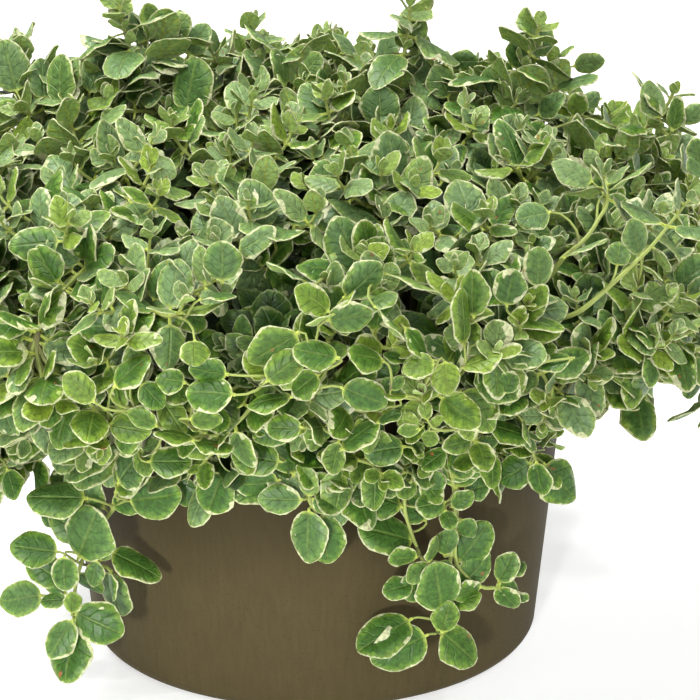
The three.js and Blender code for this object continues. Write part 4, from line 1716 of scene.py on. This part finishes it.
@dataclass(frozen=True)
class Spread:
    """A value that differs from leaf to leaf.

    Attributes:
        middle: Its middle on the youngest leaf.
        by: How far its least and its most are apart.
        with_age: What age adds to it.
    """

    middle: float
    by: float
    with_age: float = 0.0

    def at(self, draw: float, age: float = 0.0) -> float:
        """The value for a draw from -0.5 to 0.5 and an age from nought to one."""
        return self.middle + self.with_age * age + self.by * draw


@dataclass
class ShootHabit:
    """How the leaves of a shoot are spaced, sized and held, from its tip down.

    The first four rows have a value for each pair of leaves, in millimetres, in radians, and from
    nought (young) to one (old).  The axil's values are those of the small leaves between a large one
    and its stalk, and the placed values are those of the leaves that are set out one by one.
    """

    spacing: tuple = (0.6, 3.0, 7.4, 13.4, 20.6, 28.6, 37.0, 45.5, 54.0, 62.5, 71.0, 79.5)
    lengths: tuple = (5.0, 9.0, 13.5, 17.0, 19.0, 18.5, 17.5, 17.0, 16.5, 16.5, 16.0, 16.0)
    lifts: tuple = (1.1, 0.7, 0.4, 0.18, 0.02, -0.08, -0.12, -0.15, -0.15, -0.15, -0.15, -0.15)
    ages: tuple = (0.0, 0.12, 0.32, 0.55, 0.75, 0.9, 1.0, 1.0, 1.0, 1.0, 1.0, 1.0)
    length_spread: float = 0.3
    lift_spread: float = 0.7
    turn_spread: float = 0.6
    roll_spread: float = 0.9
    light_pull: float = 0.3
    light_share: float = 0.75
    light_low: float = 0.6
    light_high: float = 2.6
    light_levels: tuple = (92 * MM, 140 * MM)
    light_out_at: float = 110 * MM
    light_most_out: float = 1.1
    spacing_steady: float = 0.6
    detail_over: float = 12 * MM
    axil_from: int = 3
    axil_length: float = 6.5 * MM
    axil_length_spread: float = 0.7
    axil_aside: float = 0.9
    axil_above: float = 1.5 * MM
    axil_lift: float = 0.75
    axil_age: float = 0.2
    breadth: Spread = Spread(0.75, 0.26)
    petiole: Spread = Spread(0.06, 0.04, 0.14)
    widest: Spread = Spread(0.42, 0.10)
    bend: Spread = Spread(-0.1, 0.9, 0.75)
    fold: Spread = Spread(0.14, 0.5, -0.12)
    twist: Spread = Spread(0.0, 0.6)
    age_spread: float = 0.3
    hue_spread: float = 0.9
    full_breadth: float = 0.66
    longest: float = 21 * MM
    placed_roll: float = 0.2
    placed_petiole: Spread = Spread(0.03, 0.0, 0.04)
    placed_fullness: float = 1.14
    placed_widest: Spread = Spread(0.45, 0.08)
    placed_bend: Spread = Spread(0.25, 0.5)
    placed_fold: Spread = Spread(0.12, 0.3)
    placed_twist: Spread = Spread(0.0, 0.4)
    placed_hue: float = 0.5

    def light(self, point: Array) -> Array:
        """The way that the light comes from, outward at the sides and upward on top.

        Args:
            point: Where it is looked for.

        Returns:
            A unit vector.
        """
        reach = max(math.hypot(point[0], point[1]), TINY)
        lean = min(reach / self.light_out_at, self.light_most_out) / reach
        up = np.interp(point[2], self.light_levels, (self.light_low, self.light_high))
        return unit(np.array([point[0] * lean, point[1] * lean, up]))

    def leaves(self, shoot: Shoot, random: Draws) -> list[Leaf]:
        """Grows a shoot's leaves in opposite pairs, each pair a quarter turn from the last.

        Args:
            shoot: The shoot.
            random: The stream of random numbers.

        Returns:
            The leaves, from the pair at the tip down.
        """
        grown = []
        stretch = self.spacing_steady + (1 - self.spacing_steady) * shoot.vigour
        for pair in range(shoot.pairs):
            down = self.spacing[pair] * MM * shoot.close * stretch
            point, tangent, normal = shoot.line.spot(shoot.line.length - down)
            across = np.cross(tangent, normal)
            light = self.light(point)
            for way in (0, 2):
                draw = random.uniform(-0.5, 0.5, 10)
                turn = shoot.twist + (pair + way + 0.5) * math.pi / 2 + self.turn_spread * draw[0]
                outward = normal * math.cos(turn) + across * math.sin(turn)
                outward = square_to(outward + light * self.light_pull, tangent)
                lift = self.lifts[pair] + self.lift_spread * draw[1]
                length = self.lengths[pair] * MM * shoot.vigour * (1 + self.length_spread * draw[3])
                age = self.ages[pair]
                leaf = self.leaf(point, outward, tangent, light, lift, length, age, shoot.hue, draw, random)
                leaf.detail = Cut.FINE if length > self.detail_over else Cut.PLAIN
                grown.append(leaf)
                if shoot.stands_out and pair >= self.axil_from:
                    for side in (-1, 1):
                        draw = random.uniform(-0.5, 0.5, 10)
                        way_out = unit(outward + self.axil_aside * side * np.cross(tangent, outward))
                        length = self.axil_length * (1 + self.axil_length_spread * draw[3])
                        grown.append(self.leaf(
                            point + self.axil_above * tangent, way_out, tangent, light, self.axil_lift,
                            length, self.axil_age, shoot.hue, draw, random))
        return grown

    def placed(self, row: tuple, facing: tuple, hue: float, random: Draws) -> Leaf:
        """Shapes a leaf that is set out by itself.

        Args:
            row: Its root, its tip, its seen breadth over its length, its age and its cream.
            facing: What turns its face beside the light.
            hue: Below nought towards lime and above it towards grey.
            random: The stream of random numbers.

        Returns:
            The leaf, turned about its length where it looks narrower than leaves are.
        """
        tip = np.array(row[3:6]) * MM
        span = tip - np.array(row[:3]) * MM
        length = min(float(np.linalg.norm(span)), self.longest)
        along = unit(span)
        seen, age, cream = (share / PERCENT for share in row[6:])
        draw = random.uniform(-0.5, 0.5, 8)
        face = square_to(self.light(tip) + np.array(facing), along)
        roll = math.acos(min(seen / self.full_breadth, 1.0)) * math.copysign(1.0, draw[0])
        roll += self.placed_roll * draw[1]
        face = unit(face * math.cos(roll) + np.cross(along, face) * math.sin(roll))
        petiole = self.placed_petiole.at(0.0, age)
        return Leaf(
            root=tip - along * length, along=along, face=face, length=length,
            breadth=self.placed_fullness * max(seen, self.full_breadth) / (1 - petiole),
            petiole=petiole, widest=self.placed_widest.at(draw[2]), bend=self.placed_bend.at(draw[3]),
            fold=self.placed_fold.at(draw[4]), twist=self.placed_twist.at(draw[5]),
            wave=float(draw[6] + 0.5), age=age, detail=Cut.CLOSE,
            hue=float(np.clip(hue + self.placed_hue * draw[7], -1, 1)), cream=cream,
        )

    def leaf(self, point: Array, outward: Array, tangent: Array, light: Array, lift: float,
             length: float, age: float, hue: float, draw: Array, random: Draws) -> Leaf:
        """Shapes one leaf.

        Args:
            point: Where it leaves the stalk.
            outward: The way out of the stalk there.
            tangent: The way along the stalk.
            light: The way that the light comes from.
            lift: How far it leans towards the stalk's tip, in radians.
            length: Its length.
            age: Nought on the youngest and one on the oldest.
            hue: The shoot's hue.
            draw: Ten numbers from -0.5 to 0.5.
            random: The stream of random numbers.

        Returns:
            The leaf.
        """
        along = unit(outward * math.cos(lift) + tangent * math.sin(lift))
        face = square_to(light * self.light_share + tangent * (1 - self.light_share), along)
        roll = self.roll_spread * draw[2]
        face = unit(face * math.cos(roll) + np.cross(along, face) * math.sin(roll))
        return Leaf(
            root=point, along=along, face=face, length=length,
            breadth=self.breadth.at(draw[4]),
            petiole=self.petiole.at(draw[5], age),
            widest=self.widest.at(draw[6]),
            bend=self.bend.at(draw[7], age),
            fold=self.fold.at(draw[8], age),
            twist=self.twist.at(draw[9]),
            wave=float(random.uniform(0, 1)),
            age=float(np.clip(age + self.age_spread * draw[5], 0, 1)),
            hue=float(np.clip(hue + self.hue_spread * draw[6], -1, 1)),
            cream=float(random.uniform(0, 1) ** 2),
        )


@dataclass
class Foliage:
    """The leafy stems: one piece for each stem of the frame.

    Attributes:
        mound: The surface that the frame's stems reach.
        cover: The surface that the scene's side shoots reach.
        tips: How many side shoots there are over the cover.
        slope_to_right: How fast its top falls to the right of slope_from, above slope_above.
        hollows: Places and radii, in millimetres, round which the side shoots stand back.
        upright_shoots: Tips of shoots that are added along the top, in millimetres.
        hanging_shoots: Tips of shoots that are added over the pot, in millimetres.
        same_place: A side shoot is left out where it ends this near to a stem's own tip.
        outside_cost: How much a twig avoids a start that lies less than inside_by behind its leaf.
        shade_depths: From where to where the leaves get painted shade, a darker colour, inside the cover.
        open_share: How much less painted shade they get above the open levels, at the open sides.
        bare_depth: Deeper than this there are no leaves.
        sheet_levels: The bands of the flat map for the three cuts: from, upper faces to, undersides to.
    """

    mound: Mound = field(default_factory=Mound)
    plan: StemPlan = field(default_factory=StemPlan)
    habit: ShootHabit = field(default_factory=ShootHabit)
    stalk_cut: StalkCut = field(default_factory=StalkCut)
    pot: Pot = field(default_factory=Pot)
    close_cut: LeafCut = field(default_factory=lambda: LeafCut(
        (0.0, 0.03, 0.09, 0.19, 0.32, 0.47, 0.62, 0.76, 0.87, 0.95, 0.99, 1.0), 7))
    fine: LeafCut = field(default_factory=lambda: LeafCut((0.0, 0.09, 0.28, 0.52, 0.74, 0.89, 1.0), 5))
    plain: LeafCut = field(default_factory=lambda: LeafCut((0.0, 0.15, 0.40, 0.66, 0.87, 1.0), 3))
    cover: Mound = field(default_factory=lambda: Mound(
        skirt_height=101 * MM, skirt_rise_to_right=25 * MM, rise_power=2.6))
    sprays: tuple = (LEFT_SPRIG, CENTRE_SPRIG, RIGHT_SPRIG, THIN_SPRIG, FRINGE,
                     LOWER_LEFT, LOWER_RIGHT, RIGHT_BRANCHES, FRONT, CREST)
    tips: int = 500
    tip_spread: float = 14 * MM
    tip_range: tuple = (-0.7, 0.6)
    tip_outward: tuple = (1.0, -0.6)
    tip_upward: tuple = (0.2, 0.9)
    tip_sway: float = 1.3
    climb_levels: tuple = (100 * MM, 140 * MM)
    slope_above: float = 150 * MM
    slope_to_right: float = 0.15
    slope_from: float = 20 * MM
    hollow_depth: float = 34 * MM
    hollows: tuple = (
        (-17, -142, 152, 21), (-21, -144, 142, 18), (-13, -145, 140, 16), (-11, -136, 161, 16),
        (-11, -109, 174, 22), (83, -119, 144, 20), (91, -113, 141, 16), (83, -113, 158, 15),
        (76, -124, 140, 14), (-84, -117, 151, 20), (-76, -122, 150, 16), (-86, -103, 164, 15),
        (-69, -111, 165, 15), (-56, -117, 167, 16), (-47, -125, 164, 14), (20, -98, 177, 16),
        (26, -6, 183, 16), (10, -145, 142, 14), (-40, -140, 142, 15), (-23, -136, 160, 12),
        (90, -88, 176, 17), (98, -98, 165, 15),
    )
    turn_jitter: float = 0.04
    upright_shoots: tuple = (
        (-104, 30, 188), (-84, 18, 190), (-72, 25, 192), (-57, 32, 204), (-46, 32, 206), (-34, 42, 194),
        (-28, 55, 183), (-8, 58, 177), (5, 55, 180), (14, 55, 180), (35, 46, 191),
        (72, 48, 186), (84, 45, 181),
    )
    hanging_shoots: tuple = (
        (127, -24, 106), (-100, -66, 84), (-44, -94, 97), (-22, -101, 97), (12, -104, 99), (26, -101, 98),
        (40, -97, 99), (53, -89, 96), (65, -82, 97), (78, -71, 95), (87, -60, 102), (95, -48, 107),
        (20, -101, 92), (34, -97, 90),
    )
    branch_back: float = 22 * MM
    branch_slack: float = 0.35
    branch_range: tuple = (0.2, 0.92)
    branch_rise: float = 0.35
    branch_arrive: float = 0.4
    branch_steps: int = 9
    side_vigour: tuple = (0.78, 1.16)
    side_hue: tuple = (-0.8, 0.8)
    stem_vigour: tuple = (0.95, 1.15)
    stem_hue: tuple = (-0.7, 0.7)
    owner_height: float = 0.75
    owner_share: float = 0.5
    added_upward: float = 0.3
    spray_hue: float = 0.3
    pairs_on_mound: int = 6
    pairs_inside: int = 9
    pairs_upright: int = 8
    pairs_trailing: int = 11
    close: float = 0.78
    same_place: float = 7 * MM
    stem_thick: float = 1.35 * MM
    stem_thin: float = 0.6 * MM
    side_thick: float = 0.85 * MM
    side_thin: float = 0.45 * MM
    twig_thick: float = 0.5 * MM
    twig_thin: float = 0.36 * MM
    twig_bend: float = 0.35
    twig_steps: int = 5
    twig_vigour: float = 0.9
    outside_cost: float = 6.0
    inside_by: float = 4 * MM
    fork_rise: float = 12 * MM
    shade_depths: tuple = (7 * MM, 25 * MM)
    open_share: float = 0.7
    open_sides: tuple = (50 * MM, 110 * MM)
    open_levels: tuple = (125 * MM, 160 * MM)
    low_age: float = 0.35
    low_levels: tuple = (135 * MM, 100 * MM)
    fine_depth: float = 15 * MM
    bare_depth: float = 40 * MM
    grey_high: float = 0.8
    grey_levels: tuple = (140 * MM, 182 * MM)
    crease: float = math.radians(58)
    pot_gap: float = 1.5 * MM
    ground_clear: float = 2 * MM
    low_root: float = 20 * MM
    turn_out: float = 0.45
    turn_up: float = 0.5
    face_out: float = 0.3
    shorter: float = 0.95
    sheet_levels: tuple = ((0.0, 0.12, 0.16), (0.16, 0.60, 0.76), (0.76, 0.89, 0.94))
    sheet_stretch: float = 1.4
    stalk_level: float = 0.94
    stalk_strip: float = 0.9
    seed: int = 20241

    def tip_places(self, random: Draws) -> list[tuple[Array, Array]]:
        """Spreads shoot tips evenly over the mound.

        Args:
            random: The stream of random numbers.

        Returns:
            Each tip and the way that its shoot points.
        """
        places = []
        for i in range(self.tips):
            share = (i + 0.5) / self.tips
            turn = i * GOLDEN_ANGLE + self.turn_jitter * random.uniform(-1, 1)
            out = self.cover.outward(share, turn)
            tip = self.cover.point(share, turn) + out * self.tip_spread * random.uniform(*self.tip_range)
            sway = random.uniform(-0.5, 0.5, 3)
            climb = float(smooth_step(*self.climb_levels, tip[2]))
            if tip[2] > self.slope_above:
                tip[2] -= self.slope_to_right * max(tip[0] - self.slope_from, 0.0)
            for *centre, radius in self.hollows:
                near = np.linalg.norm(tip - np.array(centre) * MM) / (radius * MM)
                tip = tip - out * self.hollow_depth * max(1 - near**2, 0.0)
            outward = self.tip_outward[0] + self.tip_outward[1] * climb
            upward = self.tip_upward[0] + self.tip_upward[1] * climb
            places.append((tip, unit(outward * out + upward * UP + self.tip_sway * sway)))
        return places

    def branch(self, stem: Stem, tip: Array, way: Array, random: Draws) -> Shoot:
        """Grows a side shoot from a stem's stalk to a tip.

        Args:
            stem: The stem that it branches from.
            tip: Where it ends.
            way: The way that it points there.
            random: The stream of random numbers.

        Returns:
            The side shoot.
        """
        main = stem.shoots[0].line
        slack = self.branch_slack * (main.length - main.reach)
        away = np.linalg.norm(main.points - tip, axis=1) + slack
        nearest = float(main.reach[away.argmin()])
        least, most = self.branch_range
        start = np.clip(nearest - self.branch_back, least * main.length, most * main.length)
        foot, tangent, _ = main.spot(float(start))
        span = np.linalg.norm(tip - foot)
        rise = foot + tangent * self.branch_rise * span
        arrive = tip - way * self.branch_arrive * span
        return Shoot(
            line=StalkLine.bent(foot, rise, arrive, tip, steps=self.branch_steps),
            pairs=self.pairs_on_mound, vigour=float(random.uniform(*self.side_vigour)),
            hue=float(random.uniform(*self.side_hue)), twist=float(random.uniform(0, math.pi)),
            thick=self.side_thick, thin=self.side_thin,
        )

    def grow(self, random: Draws) -> list[Stem]:
        """Sets out the stems and gives them their shoots.

        Args:
            random: The stream of random numbers.

        Returns:
            The stems, in the order of the frame's nodes.
        """
        stems = self.plan.stems(self.mound)
        courses = {spray.stem: np.array(spray.courses[0]) * MM
                   for spray in self.sprays if spray.stem is not None}
        for stem in stems:
            pairs = self.pairs_upright if stem.leads else self.pairs_inside
            stem.shoots.append(Shoot(
                line=self.plan.line(stem), pairs=self.pairs_trailing if stem.trails else pairs,
                vigour=float(random.uniform(*self.stem_vigour)), hue=float(random.uniform(*self.stem_hue)),
                twist=float(random.uniform(0, math.pi)), thick=self.stem_thick, thin=self.stem_thin,
                close=self.close if stem.leads else 1.0, stands_out=stem.leads,
            ))
        bearers = [self.bearer(stems, number) for number in range(len(self.plan.trailing))]
        for number, course in courses.items():
            main = bearers[number].shoots[0]
            main.line, main.pairs = self.plan.hanging_line(bearers[number], course), 0
        homes = np.array([stem.tip for stem in stems])
        lines = [stem.shoots[0].line for stem in stems]
        middles = np.array([line.spot(self.owner_height * line.length)[0] for line in lines])
        for tip, way in self.tip_places(random):
            if np.linalg.norm(homes - tip, axis=1).min() > self.same_place:
                owner = stems[self.nearest(tip, homes, middles)]
                owner.shoots.append(self.branch(owner, tip, way, random))
        for tip in self.upright_shoots + self.hanging_shoots:
            place = np.array(tip) * MM
            owner = stems[self.nearest(place, homes, middles)]
            way = unit(self.habit.light(place) + self.added_upward * UP)
            shoot = self.branch(owner, place, way, random)
            shoot.close, shoot.stands_out = self.close, True
            owner.shoots.append(shoot)
        for spray in self.sprays:
            chosen = stems if spray.stem is None else [bearers[spray.stem]]
            self.add_spray(spray, chosen, random)
        return stems

    def nearest(self, place: Array, tips: Array, middles: Array) -> int:
        """The number of the stem whose tip and middle are the nearest to a place."""
        away = np.linalg.norm(tips - place, axis=1)
        return int((away + self.owner_share * np.linalg.norm(middles - place, axis=1)).argmin())

    def bearer(self, stems: list[Stem], number: int) -> Stem:
        """The stem of the frame that ends at a trailing tip."""
        tip = np.array(self.plan.trailing[number]) * MM
        return min(stems, key=lambda stem: np.linalg.norm(stem.tip - tip))

    def add_spray(self, spray: Spray, stems: list[Stem], random: Draws) -> None:
        """Adds a spray's side stalks and leaves, each on a twig from the nearest stalk.

        Args:
            spray: The spray.
            stems: The stems that may bear it.
            random: The stream of random numbers.
        """
        fork_rise = (0.0 if spray.stem is None else self.fork_rise) * UP
        for course in spray.courses if spray.stem is None else spray.courses[1:]:
            knots = np.array(course) * MM
            starts = [stem.shoots[0].line.points for stem in stems]
            gaps = [np.linalg.norm(points - knots[0] - fork_rise, axis=1) for points in starts]
            bearer = int(np.argmin([gap.min() for gap in gaps]))
            start = starts[bearer][gaps[bearer].argmin()]
            line = StalkLine.through(np.concatenate([start[None], knots]))
            stems[bearer].shoots.append(self.twig(line, spray.thick, self.side_thin, spray.pairs))
        bearing = [(stem, shoot.line) for stem in stems for shoot in stem.shoots]
        hue = float(random.uniform(-self.spray_hue, self.spray_hue))
        for row in spray.leaves:
            leaf = self.habit.placed(row, spray.facing, hue, random)
            costs = [self.twig_cost(line.points - leaf.root, leaf.root, spray) for _, line in bearing]
            nearest = int(np.argmin([cost.min() for cost in costs]))
            stem, line = bearing[nearest]
            spot = int(costs[nearest].argmin())
            start, tangent = line.points[spot], line.tangents[spot]
            bend = self.twig_bend * float(np.linalg.norm(leaf.root - start))
            rise, arrive = start + tangent * bend, leaf.root - leaf.along * bend
            twig = StalkLine.bent(start, rise, arrive, leaf.root, steps=self.twig_steps)
            shoot = self.twig(twig, self.twig_thick, self.twig_thin)
            shoot.placed.append(leaf)
            stem.shoots.append(shoot)

    def twig_cost(self, ways: Array, root: Array, spray: Spray) -> Array:
        """How unfit the starts of a twig are: their distance, and more where they lie outside the leaf.

        Args:
            ways: The ways from the leaf's root to the starts.
            root: The leaf's root.
            spray: The leaf's spray; the leaves of a trailing stem take the nearest start.

        Returns:
            One cost for each start.
        """
        cost = np.linalg.norm(ways, axis=1)
        if spray.stem is None:
            outside = ways @ self.habit.light(root) + self.inside_by
            cost = cost + self.outside_cost * np.maximum(outside, 0.0)
        return cost

    def twig(self, line: StalkLine, thick: float, thin: float, pairs: int = 0) -> Shoot:
        """A shoot along a line, bare or with a few pairs of leaves at its end."""
        return Shoot(line, pairs, vigour=self.twig_vigour, hue=0.0, twist=0.0, thick=thick, thin=thin)

    def blocked(self, leaves: LeafSet) -> Array:
        """Finds the leaves that meet the pot or the ground.

        Args:
            leaves: The leaves.

        Returns:
            True for each such leaf.
        """
        points = self.plain.corners(leaves).reshape(len(leaves), -1, 3)
        reach = np.hypot(points[..., 0], points[..., 1])
        wall = self.pot.radius_at(np.minimum(points[..., 2], self.pot.height)) + self.pot_gap
        in_pot = (reach < wall) & (points[..., 2] < self.pot.height + self.pot_gap)
        return (in_pot | (points[..., 2] < self.ground_clear)).any(axis=1)

    def clear(self, leaves: LeafSet, tries: int = 5) -> LeafSet:
        """Turns leaves away from the pot and the ground, and leaves out those that still meet them.

        Args:
            leaves: The leaves.
            tries: How often they are turned.

        Returns:
            The leaves that are clear.
        """
        for _ in range(tries):
            bad = self.blocked(leaves)
            root = leaves.values["root"][bad]
            outward = unit(root * np.array([1.0, 1.0, 0.0]))
            low = (root[:, 2:] < self.low_root) * UP
            along = unit(leaves.values["along"][bad] + self.turn_out * outward + self.turn_up * low)
            leaves.values["along"][bad] = along
            face = leaves.values["face"][bad] + self.face_out * outward
            leaves.values["face"][bad] = square_to(face, along)
            leaves.values["length"][bad] *= self.shorter
        return leaves.pick(~self.blocked(leaves))

    def piece(self, name: str, stem: Stem, random: Draws) -> Piece:
        """Builds one leafy stem.

        Args:
            name: The piece's name.
            stem: The stem.
            random: The stream of random numbers.

        Returns:
            The piece.
        """
        grown = []
        for shoot in stem.shoots:
            grown += self.habit.leaves(shoot, random) + shoot.placed
        roots = np.array([leaf.root for leaf in grown])
        depths = self.cover.depth(roots)
        # Painted shade: leaves deep inside the cover and low down get a higher age, which the leaf finish
        # turns into a darker colour; they get less of it at the open upper sides.
        opened = smooth_step(*self.open_sides, np.abs(roots[:, 0]))
        opened = opened * smooth_step(*self.open_levels, roots[:, 2])
        shade = smooth_step(*self.shade_depths, depths) * (1 - self.open_share * opened)
        for leaf, depth, more in zip(grown, depths, shade):
            leaf.age += float(more) + self.low_age * float(smooth_step(*self.low_levels, leaf.root[2]))
            # Painted sheen: leaves high up are turned greyer and paler.
            leaf.hue += self.grey_high * float(smooth_step(*self.grey_levels, leaf.root[2]))
            if leaf.detail is Cut.FINE and depth > self.fine_depth:
                leaf.detail = Cut.PLAIN
        grown = [leaf for leaf, depth in zip(grown, depths) if depth < self.bare_depth]
        parts = []
        cuts = ((self.close_cut, Cut.CLOSE), (self.fine, Cut.FINE), (self.plain, Cut.PLAIN))
        for (cut, detail), (low, middle, high) in zip(cuts, self.sheet_levels):
            leaves = [leaf for leaf in grown if leaf.detail is detail]
            if leaves:
                chosen = self.clear(LeafSet(leaves))
                if len(chosen):
                    sheets = (ChartSheet(low, middle, len(chosen), self.sheet_stretch),
                              ChartSheet(middle, high, len(chosen), self.sheet_stretch))
                    parts.append(cut.shells(chosen, sheets))
        strip = (1 - self.stalk_level) / len(stem.shoots)
        for i, shoot in enumerate(stem.shoots):
            low = self.stalk_level + i * strip
            high = low + self.stalk_strip * strip
            parts.append(self.stalk_cut.tube(shoot.line, shoot.thick, shoot.thin, low, high))
        return join_shells(name, parts, self.crease)

    def build(self, finishes: list[Material]) -> list[Piece]:
        """Builds all the leafy stems.

        Args:
            finishes: The leaf's finish and the stalk's.

        Returns:
            The pieces.
        """
        random = np.random.default_rng(self.seed)
        pieces = []
        for i, stem in enumerate(self.grow(random)):
            node = f"stem_{i + 1:02d}"
            piece = self.piece(f"{node}_foliage", stem, random)
            for finish in finishes:
                piece.data.materials.append(finish)
            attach(piece, ROOT_BODY)
            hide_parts(node)
            pieces.append(piece)
        return pieces


@dataclass
class Studio:
    """The floor, the lights and the camera."""

    floor_half: float = 6.0
    aim: tuple = (12.97 * MM, 0.0, 99.74 * MM)
    distance: float = 1.2
    elevation: float = math.radians(19.3)
    roll: float = math.radians(-0.25)
    sensor: float = 36.0
    lens: float = 181.1
    clip: tuple = (0.05, 50.0)
    sky_colour: tuple = (1.0, 1.0, 1.0, 1.0)
    sky_lean: float = 0.4
    sky_levels: tuple = (-0.5, 0.7)
    sky_strengths: tuple = (0.05, 0.8)
    key_place: tuple = (0.4, -1.9, 0.85)
    key_energy: float = 10.0
    key_size: float = 0.9
    sun_place: tuple = (-0.8, 0.05, 2.4)
    sun_energy: float = 4.8
    sun_angle: float = math.radians(32)
    spot_size: float = 0.12
    spots: tuple = (
        ("low", (-0.3, -1.5, 0.3), 380.0, 6.5, (-12 * MM, -85 * MM, 30 * MM)),
        ("left", (-0.7, -1.2, 1.5), 300.0, 6.0, (-100 * MM, -30 * MM, 182 * MM)),
        ("right", (0.7, -1.2, 1.5), 110.0, 6.5, (110 * MM, -50 * MM, 172 * MM)),
    )

    def camera(self) -> None:
        """Sets the camera in front of the plant, a little above it."""
        data = bpy.data.cameras.new("camera")
        data.sensor_width, data.lens = self.sensor, self.lens
        data.clip_start, data.clip_end = self.clip
        eye = bpy.data.objects.new("camera", data)
        bpy.context.scene.collection.objects.link(eye)
        back = Vector((0.0, -math.cos(self.elevation), math.sin(self.elevation)))
        turn = (-back).to_track_quat("-Z", "Y").to_matrix().to_4x4()
        place = Vector(self.aim) + back * self.distance
        eye.matrix_world = Matrix.Translation(place) @ turn @ Matrix.Rotation(self.roll, 4, "Z")
        bpy.context.scene.camera = eye

    def lamp(self, name: str, kind: Lamp, place: tuple, energy: float, size: float,
             aim: tuple | None = None) -> None:
        """Sets a lamp.

        Args:
            name: The lamp's name.
            kind: Its kind.
            place: Where it stands.
            energy: How strong it is.
            size: The side of an area lamp, or the angle of a spot or a sun in radians.
            aim: What it points at, or None for the plant.
        """
        data = bpy.data.lights.new(name, kind.value)
        data.energy = energy
        if kind is Lamp.AREA:
            data.size = size
        elif kind is Lamp.SPOT:
            data.spot_size, data.spot_blend, data.shadow_soft_size = size, 1.0, self.spot_size
        else:
            data.angle = size
        lamp = bpy.data.objects.new(name, data)
        bpy.context.scene.collection.objects.link(lamp)
        lamp.location = place
        way = Vector(aim or self.aim) - Vector(place)
        lamp.rotation_euler = way.to_track_quat("-Z", "Y").to_euler()

    def sky(self) -> None:
        """Lights the studio from all round, but less from low on the left."""
        world = bpy.data.worlds.new("studio")
        world.use_nodes = True
        nodes, links = world.node_tree.nodes, world.node_tree.links
        sides = nodes.new("ShaderNodeSeparateXYZ")
        links.new(nodes.new("ShaderNodeTexCoord").outputs["Generated"], sides.inputs[0])
        lean = nodes.new("ShaderNodeMath")
        lean.operation = Sum.TIMES_ADD.value
        lean.inputs[1].default_value = self.sky_lean
        links.new(sides.outputs["X"], lean.inputs[0])
        links.new(sides.outputs["Z"], lean.inputs[2])
        level = nodes.new("ShaderNodeMapRange")
        level.interpolation_type = "SMOOTHSTEP"
        values = (*self.sky_levels, *self.sky_strengths)
        for label, value in zip(("From Min", "From Max", "To Min", "To Max"), values):
            level.inputs[label].default_value = value
        links.new(lean.outputs[0], level.inputs[0])
        links.new(level.outputs[0], nodes["Background"].inputs["Strength"])
        nodes["Background"].inputs["Color"].default_value = self.sky_colour
        bpy.context.scene.world = world

    def build(self) -> None:
        """Sets up the whole studio."""
        self.camera()
        self.sky()
        bpy.context.scene.view_settings.view_transform = "Standard"
        self.lamp("key", Lamp.AREA, self.key_place, self.key_energy, self.key_size)
        self.lamp("sun", Lamp.SUN, self.sun_place, self.sun_energy, self.sun_angle)
        for name, place, energy, angle, aim in self.spots:
            self.lamp(name, Lamp.SPOT, place, energy, math.radians(angle), aim)
        half = self.floor_half
        corners = np.array([[-half, -half, 0], [half, -half, 0], [half, half, 0], [-half, half, 0]])
        floor = make_mesh("floor", corners, [[0, 1, 2, 3]])
        floor.data.materials.append(FloorFinish().material())


def write_sizes() -> None:
    """Updates the view layer.
    """
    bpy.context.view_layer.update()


def main() -> None:
    """Builds the studio and the plant, and reports each piece."""
    logging.basicConfig(level=logging.INFO, format="%(message)s")
    Studio().build()
    pieces = [Pot().build(PotFinish().material()), Soil().build(SoilFinish().material())]
    pieces += Foliage().build([LeafFinish().material(), StalkFinish().material()])
    total = 0
    for piece in pieces:
        triangles = sum(len(face.vertices) - 2 for face in piece.data.polygons)
        total += triangles
        LOG.info("%s: %d triangles", piece.name, triangles)
    LOG.info("all: %d triangles", total)
    write_sizes()


if __name__ == "__main__":
    main()
